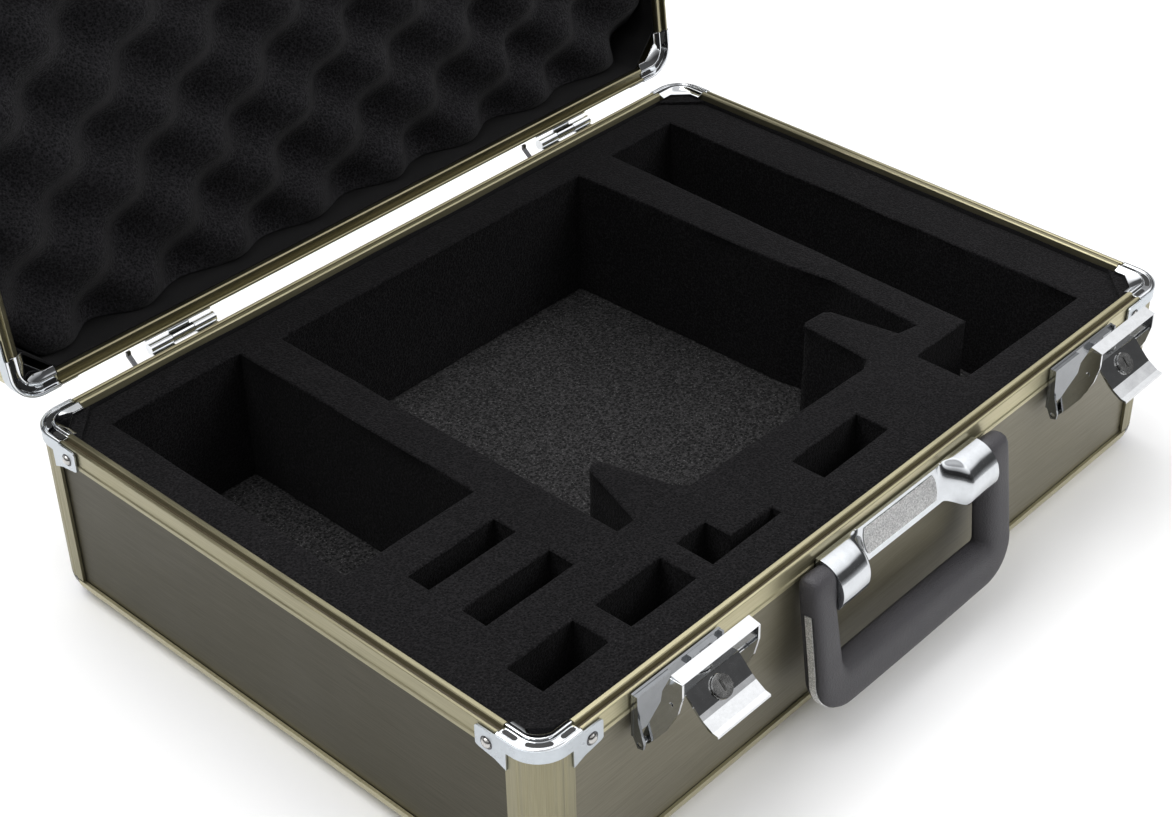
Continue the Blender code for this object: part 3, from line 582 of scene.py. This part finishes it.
def liner(name, low, high, body, place):
    """A thin felt strip standing along the walls."""
    form = bmesh.new()
    rings = []
    outer = resample(case_outline(0.00715, CHAMFER), 0.008)
    inner = resample(case_outline(0.00785, CHAMFER), 0.008)
    count = min(len(outer), len(inner))
    profile = [(0, low), (0, high - 0.0003), (0.5, high), (1, high - 0.0003), (1, low)]
    for i in range(count):
        (x1, y1), (x2, y2) = outer[i], inner[i]
        ring = []
        for share, z in profile:
            lift = sway(x1, y1, 7.0, 22.0, 0.0007) if z > low else 0
            ring.append((x1 + (x2 - x1) * share, y1 + (y2 - y1) * share, z + lift))
        rings.append(ring)
    loft(form, rings, closed=True)
    move(form, place)
    return keep(name, form, LOOKS["felt"], body, smooth=60)


def egg_crate():
    """Convoluted foam in the lid: rows of round peaks, half a pitch apart, over deep dimples."""
    form = bmesh.new()
    half_x = HALF_W - FOAM_SIDE - 0.0004
    half_y = HALF_D - FOAM_SIDE - 0.0004
    first_x, first_y = 0.1965, 0.1470  # a peak's place
    grid_x = 150
    grid_y = 106
    rows = []
    for j in range(grid_y + 1):
        row = []
        for i in range(grid_x + 1):
            x = half_x * (2 * i / grid_x - 1)
            y = half_y * (2 * j / grid_y - 1)
            x, y = chamfered(x, y, half_x, half_y)
            dx = sway(x, y, 11.0, 14.0, 0.004)
            dy = sway(x, y, 17.0, 14.0, 0.004)
            wave_x = math.cos(2 * math.pi * (x + dx + first_x) / EGG_PITCH)
            wave_y = math.cos(2 * math.pi * (y + dy - first_y) / EGG_PITCH)
            rise = ((wave_x * wave_y + 1) / 2) ** 0.85
            z = EGG_VALLEY - EGG_RISE * rise + sway(x, y, 5.0, 60.0, 0.0011)
            row.append(form.verts.new((x, y, z)))
        rows.append(row)
    close_slab(form, rows, EGG_BACK)
    move(form, LID)
    item = keep("egg_crate_foam", form, LOOKS["egg"], "lid", smooth=60)
    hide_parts("lid_foam_sheet")


# ---------------------------------------------------------------- caps and rivets
# corner: its end in x and in y, and quarter turns from the front left
CORNERS = {
    "front_left": (-1, -1, 0),
    "front_right": (1, -1, 1),
    "back_right": (1, 1, 2),
    "back_left": (-1, 1, 3),
}


def corner_place(name, z, flip=False):
    """Puts a piece made at the front left corner on another one; flip hangs it under the lid."""
    end_x, end_y, quarters = CORNERS[name]
    spin = Matrix.Rotation(quarters * math.pi / 2, 4, "Z")
    place = Matrix.Translation((end_x * HALF_W, end_y * HALF_D, z)) @ spin
    if flip:
        place = place @ Matrix.Rotation(math.pi, 4, Vector((1, 1, 0)).normalized())
    return place


CAP_END = 0.0237  # how far a cap reaches along the rim, from the corner
# its three slots, along the cap from the bend's start
CAP_SLOTS = ((-0.0078, -0.0004), (0.0048, 0.0188), (0.0240, 0.0314))


def cap_point(mark):
    """Rim point and outward direction at a distance along a cap from the bend's start."""
    bend = CORNER_R * math.pi / 2
    if mark <= 0.0:
        return Vector((0.0, CORNER_R - mark, 0.0)), Vector((-1.0, 0.0, 0.0))
    if mark >= bend:
        return Vector((CORNER_R + mark - bend, 0.0, 0.0)), Vector((0.0, -1.0, 0.0))
    angle = math.pi + mark / CORNER_R
    out = Vector((math.cos(angle), math.sin(angle), 0.0))
    return Vector((CORNER_R, CORNER_R, 0.0)) + out * CORNER_R, out


def cap_crown(lid):
    """Polished top of a cap: two lips, a groove and the flange that slopes to the foam."""
    form = bmesh.new()
    rings = []
    bend = CORNER_R * math.pi / 2
    lip = -0.0014 if lid else 0.0009
    groove = -0.0019 if lid else -0.0005
    inner = 0.0096
    leg = 0.0080
    marks = [-0.0087, -0.0060, -0.0030] + [bend * i / 24 for i in range(25)]
    marks += [bend + 0.003, bend + 0.006, bend + 0.0087]
    for mark in marks:
        rim, out = cap_point(mark)
        if mark <= 0.0:
            foam_side = Vector((inner, max(CORNER_R - mark, inner + leg), 0.0))
        elif mark >= bend:
            foam_side = Vector((max(CORNER_R + mark - bend, inner + leg), inner, 0.0))
        else:
            share = mark / bend
            foam_side = Vector((inner + leg * share, inner + leg * (1 - share), 0.0))
        section = [
            (-0.0009, -0.0024), (-0.0009, -0.0009), (-0.0005, -0.0003), (0.0002, 0.0001),
            (0.0010, 0.0001), (0.0013, groove), (0.0048, groove), (0.0051, lip - 0.0003),
            (0.0056, lip), (0.0062, lip - 0.0001), (0.0067, lip - 0.0006),
        ]
        ring = [tuple(rim - out * depth + Vector((0, 0, z))) for depth, z in section]
        ring.append(tuple(foam_side + Vector((0, 0, lip - 0.0016))))
        ring.append(tuple(foam_side + Vector((0, 0, lip - 0.0024))))
        ring.append(tuple(rim - out * 0.0060 + Vector((0, 0, -0.0046))))
        ring.append(tuple(rim - out * 0.0002 + Vector((0, 0, -0.0046))))
        rings.append(ring)
    loft(form, rings)
    return form


def cap_slots(lid):
    """Dark strip for the rail seen through the three long slots of a cap: painted shade."""
    top = -0.00185 if lid else -0.00045
    form = bmesh.new()
    for first, last in CAP_SLOTS:
        slot = bmesh.new()
        rings = []
        steps = 16
        for i in range(steps + 1):
            mark = first + (last - first) * i / steps
            tip = min(mark - first, last - mark)
            half = 0.00125 if tip > 0.0008 else 0.00060 + 0.80 * tip
            rim, out = cap_point(mark)
            near, far = GROOVE_MIDDLE - half, GROOVE_MIDDLE + half
            ends = ((near, top - 0.0005), (near, top), (far, top), (far, top - 0.0005))
            rings.append([tuple(rim - out * depth + Vector((0, 0, z))) for depth, z in ends])
        loft(slot, rings)
        add_form(form, slot)
    return form


def groove_shade_strip(side):
    """Dark strip at the bottom of a rim rail's groove: painted shade in the groove."""
    run = CAP_END - 0.0010
    low, high = -0.00235, -0.0017
    middle = high + 0.0002
    section = ((0.00185, low), (0.00185, high), (GROOVE_MIDDLE, middle), (0.00415, high), (0.00415, low))
    form = bmesh.new()
    rings = []
    long = side in ("front", "back")
    reach = (HALF_W if long else HALF_D) - run
    depth = HALF_D if long else HALF_W
    sign = -1 if side in ("front", "left") else 1
    for i in range(9):
        at = reach * (i / 4 - 1)
        ring = []
        for inward, up in section:
            away = sign * (depth - inward)
            ring.append((at, away, up) if long else (away, at, up))
        rings.append(ring)
    loft(form, rings)
    return move(form, Matrix.Translation((0, 0, BASE_H)))


def build_corner_pads():
    """Small foam pads between the block's cut corners and the caps' flanges."""
    steps = 12
    for corner in CORNERS:
        form = bmesh.new()
        rings = []
        for i in range(steps + 1):
            share = i / steps
            sag = 0.0003 * math.sin(math.pi * share)
            near = Vector((0.0086 + 0.0090 * share, 0.0176 - 0.0090 * share, 0.0))
            far = Vector((0.0086 + 0.0190 * share, 0.0276 - 0.0190 * share, 0.0))
            rings.append([
                (near.x, near.y, -0.0028), (near.x, near.y, -0.0020),
                (far.x, far.y, -0.0022 - sag), (far.x, far.y, -0.0040),
            ])
        loft(form, rings)
        move(form, corner_place(corner, BASE_H))
        name = f"base_corner_pad_{corner}"
        item = keep(name, form, LOOKS["foam"], "base", smooth=50)


def build_groove_shades():
    # dark strips in the rims' grooves, painted shade
    for side in ("front", "right", "back", "left"):
        name = f"base_rim_gasket_{side}"
        keep(name, groove_shade_strip(side), LOOKS["gasket"], "base", smooth=50)


def cap_skirt():
    """Satin outer skin of a cap with its two riveted tabs."""
    form = bmesh.new()
    bend = CORNER_R * math.pi / 2
    post = 0.0180 - CORNER_R
    tab = 0.0350 - CORNER_R
    # (place along the cap, top and bottom of the skin there), from a tab's end to the bend
    marks = [
        (-tab, -0.0026, -0.0116), (-tab + 0.0006, -0.0017, -0.0121),
        (-tab + 0.0016, -0.0013, -0.0126), (-0.0090, -0.0012, -0.0141),
        (-0.0088, -0.0004, -0.0142), (-post, -0.0004, -0.0164),
        (-post + 0.0001, -0.0004, -0.0070), (0.0, -0.0004, -0.0068),
    ]
    mirrored = [(bend - mark, top, low) for mark, top, low in reversed(marks)]
    arc = [(bend * i / 14, -0.0004, -0.0068) for i in range(1, 14)]
    rings = []
    for mark, top, low in marks + arc + mirrored:
        rim, out = cap_point(mark)
        ends = ((0.0010, top), (0.0010, low), (0.0001, low), (0.0001, top))
        rings.append([tuple(rim + out * away + Vector((0, 0, z))) for away, z in ends])
    loft(form, rings)
    return form


def dome(radius, height, rings=5, sides=24):
    """A rivet head on +Z with a rolled foot."""
    form = bmesh.new()
    rows = [[(radius * math.cos(a), radius * math.sin(a), -0.0004) for a in turn(0, 360, sides)[:-1]]]
    for k in range(rings):
        share = math.radians(80 * k / (rings - 1))
        r = radius * math.cos(share)
        z = height * math.sin(share)
        rows.append([(r * math.cos(a), r * math.sin(a), z) for a in turn(0, 360, sides)[:-1]])
    loft(form, rows)
    return form


def add_form(target, extra):
    """Moves one bmesh into another."""
    mesh = bpy.data.meshes.new("step")
    extra.to_mesh(mesh)
    extra.free()
    target.from_mesh(mesh)
    bpy.data.meshes.remove(mesh)


def build_cap(corner, lid):
    """One rim corner cap in place of its plain solid, with its slots dark with painted shade and two
    rivets in dark rings of painted shade.
    """
    body = "lid" if lid else "base"
    node = f"{body}_rim_cap_{corner}"
    place = LID @ corner_place(corner, 0.0, flip=True) if lid else corner_place(corner, BASE_H)

    def fit(part, form, look, smooth):
        return keep(f"{node}_{part}", move(form, place), LOOKS[look], body, smooth=smooth)

    crown = fit("crown", cap_crown(lid), "chrome", 40)
    soften(crown, 0.00015, 2, 40)
    skirt = fit("skirt", cap_skirt(), "cap", 40)
    soften(skirt, 0.00025, 2, 40)
    # the slots' dark floors are painted shade
    fit("slots", cap_slots(lid), "slot", 40)
    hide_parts(node)
    rivets = bmesh.new()
    # each rivet sits in a dark ring: painted shade of the recess round its head
    shade_rings = bmesh.new()
    tabs = (
        ((RIVET_PLACE, -0.0010, -0.0079), Matrix.Rotation(math.pi / 2, 4, "X")),
        ((-0.0010, RIVET_PLACE, -0.0079), Matrix.Rotation(-math.pi / 2, 4, "Y")),
    )
    for centre, lean in tabs:
        add_form(rivets, move(dome(0.0025, 0.0017), Matrix.Translation(centre) @ lean))
        add_form(shade_rings, move(ring_form(0.0029, 0.0007), Matrix.Translation(centre) @ lean))
    fit("rivets", rivets, "rivet", 50)
    fit("rivet_seats", shade_rings, "dark_steel", 50)


def build_caps():
    for corner in CORNERS:
        for lid in (False, True):
            build_cap(corner, lid)


def ring_form(radius, thick, sides=24, around=8):
    """A flattened ring round +Z."""
    form = bmesh.new()
    rings = []
    for a in turn(0, 360, sides)[:-1]:
        ring = []
        for b in turn(0, 360, around)[:-1]:
            r = radius + thick * 0.5 * math.cos(b)
            ring.append((r * math.cos(a), r * math.sin(a), thick * 0.35 * math.sin(b)))
        rings.append(ring)
    loft(form, rings, closed=True)
    return form


# ---------------------------------------------------------------- handle
GRIP_HALF = 0.0665  # half the width over the arms' middles
GRIP = Matrix.Translation(HANDLE_PIVOT) @ Matrix.Rotation(math.radians(-7.5), 4, "X")


def grip_path():
    """Stations down one arm, round the bar and up the other: (x, z, outward angle, size)."""
    half = GRIP_HALF
    low = -0.0605
    bend = 0.0135
    head = 0.0060
    path = [
        (half, head + 0.0002, 0.0, 0.20), (half, head * 0.93, 0.0, 0.55), (half, head * 0.7, 0.0, 0.82),
        (half, head * 0.3, 0.0, 0.97), (half, -0.004, 0.0, 1.0),
    ]
    path += [(half, -0.004 - (abs(low) - bend - 0.004) * i / 5, 0.0, 1.0) for i in range(1, 5)]
    for a in turn(0, -90, 10):
        path.append((half - bend + bend * math.cos(a), low + bend + bend * math.sin(a), a, 1.0))
    inner = half - bend
    path += [(inner * (1 - i / 5), low, -math.pi / 2, 1.0) for i in range(1, 5)]
    mirrored = [(-x, z, -math.pi - a, size) for x, z, a, size in reversed(path)]
    return path + [(0.0, low, -math.pi / 2, 1.0)] + mirrored


def build_grip():
    """The soft grip with its steel strap in a groove whose dark bed is painted shade, and the strap's
    two pins.
    """
    form = bmesh.new()
    groove = bmesh.new()
    strap = bmesh.new()
    rings = []
    beds = []
    strips = []
    for x, z, angle, size in grip_path():
        level = abs(math.sin(angle))
        drop = min(1.0, max(0.0, (-z - 0.006) / 0.046))
        wide = (0.0068 + 0.0034 * level) * (0.55 + 0.45 * size)
        flare = 0.0022 * math.sin(math.pi * min(1.0, max(0.0, (0.012 - z) / 0.024))) * (1 - level)
        deep = 0.0064 * size
        belly = 0.0006 * math.cos(x / GRIP_HALF * math.pi / 2) * level
        taper = 0.0030 * drop * (1 - level)
        out = Vector((math.cos(angle), 0, math.sin(angle)))
        centre = Vector((x, 0, z))
        ring = []
        for spin in turn(0, 360, 36)[:-1]:
            c = math.cos(spin)
            s = math.sin(spin)
            across = math.copysign(abs(c) ** 0.55, c) * (wide + belly)
            depth = math.copysign(abs(s) ** 0.55, s) * deep
            if c < 0:
                behind = 0.5 + 0.5 * depth / deep if deep else 0.0
                across += c * size * (flare + taper + 0.0044 * behind * (0.3 + 0.7 * size))
            ring.append(tuple(centre + out * across + Vector((0, depth, 0))))
        rings.append(ring)
        if size == 1.0 and z < -0.012:
            edge = centre + out * (wide + belly)
            for rows, half, near, far in (
                (beds, 0.0031, -0.0014, 0.00015),
                (strips, 0.0021, -0.0012, 0.0005),
            ):
                corners = ((near, -half), (far, -half + 0.0003), (far, half - 0.0003), (near, half))
                rows.append([tuple(edge + out * away + Vector((0, y, 0))) for away, y in corners])
    loft(form, rings)
    loft(groove, beds)
    loft(strap, strips)
    for sign in (-1, 1):
        pin = bmesh.new()
        radius = 0.0025
        spins = turn(0, 360, 18)[:-1]
        loft(pin, [
            [(sign * x, radius * math.cos(a), radius * math.sin(a)) for a in spins]
            for x in (0.043, 0.0655)
        ])
        add_form(strap, pin)
    body = "handle_grip"
    move(form, GRIP)
    item = keep("handle_grip_soft", form, LOOKS["grip"], body, smooth=70)
    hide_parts("handle_grip")
    # the groove's near-black bed is painted shade round the strap
    move(groove, GRIP)
    keep("handle_strap_groove", groove, LOOKS["slot"], body, smooth=50)
    move(strap, GRIP)
    keep("handle_core_strap", strap, LOOKS["sand"], body, smooth=50)


def bracket_ring(x, flat):
    """(x, y, z) section of the bracket's sheet; flat goes from 0, a round hood, to 1, the scoop."""
    hood_y, hood_z, hood_r, back = 0.0042, -0.0070, 0.0140, 0.0069
    outer = []
    inner = []
    steps = 30
    for index, angle in enumerate(turn(80, 215, steps)):
        share = index / steps
        round_y = hood_y + hood_r * math.cos(angle)
        round_z = hood_z + hood_r * math.sin(angle)
        y = round_y * (1 - flat) + (back - 0.0015 - SCOOP_IN * share) * flat
        z = round_z * (1 - flat) + (hood_z + hood_r - 0.0003 - SCOOP_DOWN * share) * flat
        outer.append((x, y, z))
        inner.append((
            x,
            hood_y + (y - hood_y) * 0.88 + 0.0003 + 0.0006 * flat,
            hood_z + (z - hood_z) * 0.88 - 0.0003 + 0.0010 * flat * share,
        ))
    top, low = outer[0][2], outer[-1][2] - 0.0002
    wall = [(x, back, top), (x, back, low), (x, back - 0.0011, low), (x, back - 0.0011, inner[0][2])]
    return outer[::-1] + wall + inner


def build_bracket():
    """The handle bracket's finer skin: two round hoods, closed at their ends, and a scoop."""
    half = 0.059
    first, last = 0.0405, 0.0285
    stations = [(-half, 0.0), (-0.050, 0.0)]
    for i in range(13):
        share = i / 12
        stations.append((-first + (first - last) * share, share * share * (3 - 2 * share)))
    stations += [(x, 1.0) for x in (-0.014, 0.0)]
    mirrored = [(-x, flat) for x, flat in reversed(stations[:-1])]
    form = bmesh.new()
    loft(form, [bracket_ring(x, flat) for x, flat in stations + mirrored])
    for sign in (-1, 1):
        cheek = bmesh.new()
        rim = [(0.0067, 0.0058)]
        for a in turn(82, 213, 24):
            rim.append((0.0042 + 0.0134 * math.cos(a), -0.0070 + 0.0134 * math.sin(a)))
        rim.append((0.0067, -0.0147))
        near, far = sign * 0.0574, sign * 0.0588
        loft(cheek, [[(x, y, z) for y, z in rim] for x in (near, far)])
        add_form(form, cheek)
    move(form, Matrix.Translation(HANDLE_PIVOT))
    item = keep("handle_bracket_skin", form, LOOKS["bracket"], "base", smooth=32)
    soften(item, 0.0002, 2, 50)
    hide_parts("handle_bracket")


def build_inlay():
    """The blasted inlay in the bracket's scooped middle."""
    form = bmesh.new()
    grid = 24
    rows = []
    half_wide, half_high = 0.0272, 0.0066
    lean = math.atan2(SCOOP_IN, SCOOP_DOWN)
    centre = Vector((-0.0012, -0.1691, 0.0867))
    across = Vector((0, -math.sin(lean), -math.cos(lean)))
    out = Vector((0, -math.cos(lean), math.sin(lean)))
    for j in range(7):
        row = []
        for i in range(grid + 1):
            u = (2 * i / grid - 1) * half_wide
            v = (j / 3 - 1) * half_high
            u *= 1 - 0.06 * abs(v / half_high) ** 3
            place = centre + Vector((u, 0, 0)) + across * v + out * 0.0003
            row.append(form.verts.new(tuple(place)))
        rows.append(row)
    for near, far in zip(rows, rows[1:]):
        for i in range(grid):
            form.faces.new((near[i], near[i + 1], far[i + 1], far[i]))
    bmesh.ops.solidify(form, geom=form.faces[:], thickness=0.0006)
    item = keep("handle_inlay", form, LOOKS["sand"], "base", smooth=40)
    soften(item, 0.00015, 2, 40)


# ---------------------------------------------------------------- CAD nodes
LATCH_LOOKS = {
    "handle_bracket": "bracket",
    "latch_plate": "plate",
    "latch_bail": "leaf",
    "latch_lever": "leaf",
}


def dress_frame():
    """Gives each CAD node its look and a small round on its edges."""
    for name, item in NODES.items():
        side = name.rsplit("_", 1)[-1]
        if "rim_rail" in name:
            along = "rail_x" if side in ("front", "back") else "rail_y"
            paint(f"lid_{along}" if name.startswith("lid") else along, name)
            soften(item, 0.0002)
        elif "post" in name:
            paint("rail_z", name)
            soften(item, 0.0002)
        elif name in ("base_bottom_frame", "lid_edge_frame"):
            paint("rail_x", name)
        elif "panel" in name:
            paint("panel_y" if side in ("left", "right") else "panel_x", name)
            soften(item, 0.0002)
        elif "ball_corner" in name:
            paint("ball", name)
        elif "stop" in name:
            paint("dark_steel", name)
            soften(item, 0.0002)
        elif "key" in name:
            paint("lock", name)
            soften(item, 0.0003)
        elif any(word in name for word in ("latch", "hinge", "catch", "bracket")):
            kind = name.replace("_left", "").replace("_right", "")
            paint(LATCH_LOOKS.get(kind, "chrome"), name)
            soften(item, 0.00022)


# ---------------------------------------------------------------- studio
def build_camera():
    """A still camera above the front left corner, level but for a slight roll."""
    heading = 0.845
    elevation = 0.6401
    roll = -0.0027
    forward = Vector((
        math.sin(heading) * math.cos(elevation),
        math.cos(heading) * math.cos(elevation),
        -math.sin(elevation),
    ))
    right = Vector((math.cos(heading), -math.sin(heading), 0))
    down = forward.cross(right)
    right2 = right * math.cos(roll) + down * math.sin(roll)
    down2 = down * math.cos(roll) - right * math.sin(roll)
    data = bpy.data.cameras.new("studio_camera")
    camera = bpy.data.objects.new("studio_camera", data)
    bpy.context.scene.collection.objects.link(camera)
    basis = Matrix((right2, -down2, -forward)).transposed().to_4x4()
    camera.matrix_world = Matrix.Translation((-0.63933, -0.58348, 0.69392)) @ basis
    data.sensor_width = 36.0
    data.lens = 65.94
    data.shift_x = -0.0532
    data.shift_y = 0.0179
    data.clip_start = 0.01
    data.clip_end = 50.0
    bpy.context.scene.camera = camera


def area_light(name, place, target, size, power):
    """A soft rectangular light at a place, aimed at a target."""
    data = bpy.data.lights.new(name, "AREA")
    data.shape = "RECTANGLE"
    data.size, data.size_y = size
    data.energy = power
    item = bpy.data.objects.new(name, data)
    bpy.context.scene.collection.objects.link(item)
    item.location = place
    item.rotation_euler = (Vector(target) - Vector(place)).to_track_quat("-Z", "Y").to_euler()
    return item


def build_studio():
    """Pale floor, three soft lights and a grey room that is darker on one side."""
    form = bmesh.new()
    reach = 9.0
    steps = 12
    rows = []
    for j in range(steps + 1):
        rows.append([
            form.verts.new((reach * (2 * i / steps - 1), reach * (2 * j / steps - 1), -0.0002))
            for i in range(steps + 1)
        ])
    for near, far in zip(rows, rows[1:]):
        for i in range(steps):
            form.faces.new((near[i], near[i + 1], far[i + 1], far[i]))
    mesh = bpy.data.meshes.new("studio_floor")
    form.to_mesh(mesh)
    form.free()
    mesh.materials.append(LOOKS["floor"])
    item = bpy.data.objects.new("studio_floor", mesh)
    bpy.context.scene.collection.objects.link(item)
    area_light("key_light", (-0.35, 0.75, 1.9), (0, 0, 0.05), (2.0, 1.6), 38.0)
    fill = area_light("front_fill", (0.9, -1.5, 1.0), (0, 0, 0.08), (1.2, 0.9), 15.0)
    fill.visible_glossy = False  # lights the front without showing in the chrome
    area_light("left_fill", (-1.6, 0.1, 0.9), (0, 0, 0.08), (0.9, 0.7), 0.8)
    world = bpy.data.worlds.new("studio_world")
    world.use_nodes = True
    tree = world.node_tree
    back = tree.nodes["Background"]
    back.inputs["Strength"].default_value = 1.0
    place = tree.nodes.new("ShaderNodeTexCoord")
    split = tree.nodes.new("ShaderNodeSeparateXYZ")
    ramp = tree.nodes.new("ShaderNodeValToRGB")
    # the room's brightness by height, from the horizon up to overhead
    stops = [
        (0.0, 0.62), (0.10, 0.30), (0.22, 0.08), (0.50, 0.10),
        (0.60, 1.25), (0.82, 1.9), (0.89, 0.70), (1.0, 0.9),
    ]
    points = ramp.color_ramp.elements
    while len(points) < len(stops):
        points.new(0.5)
    for point, (at, level) in zip(points, stops):
        point.position = at
        point.color = (level, level, level * 1.01, 1.0)
    tree.links.new(place.outputs["Generated"], split.inputs["Vector"])
    tree.links.new(split.outputs["Z"], ramp.inputs["Fac"])
    behind = tree.nodes.new("ShaderNodeVectorMath")
    behind.operation = "DOT_PRODUCT"
    behind.inputs[1].default_value = (-0.80, -0.60, 0.0)
    dim = tree.nodes.new("ShaderNodeMapRange")
    limits = {"From Min": 0.05, "From Max": 0.75, "To Min": 1.0, "To Max": 0.38}
    for key, level in limits.items():
        dim.inputs[key].default_value = level
    shade = tree.nodes.new("ShaderNodeVectorMath")
    shade.operation = "SCALE"
    tree.links.new(place.outputs["Generated"], behind.inputs[0])
    tree.links.new(behind.outputs["Value"], dim.inputs["Value"])
    tree.links.new(ramp.outputs["Color"], shade.inputs[0])
    tree.links.new(dim.outputs["Result"], shade.inputs["Scale"])
    tree.links.new(shade.outputs["Vector"], back.inputs["Color"])
    bpy.context.scene.world = world
    bpy.context.scene.view_settings.view_transform = "Standard"


build_camera()
dress_frame()
foam_block()
foam_sheet()
liner("base_liner_strip", 0.060, 0.0974, "base", Matrix())
liner("lid_liner_strip", 0.0045, 0.030, "lid", LID)
egg_crate()
build_caps()
build_groove_shades()
build_corner_pads()
build_grip()
build_bracket()
build_inlay()
build_studio()
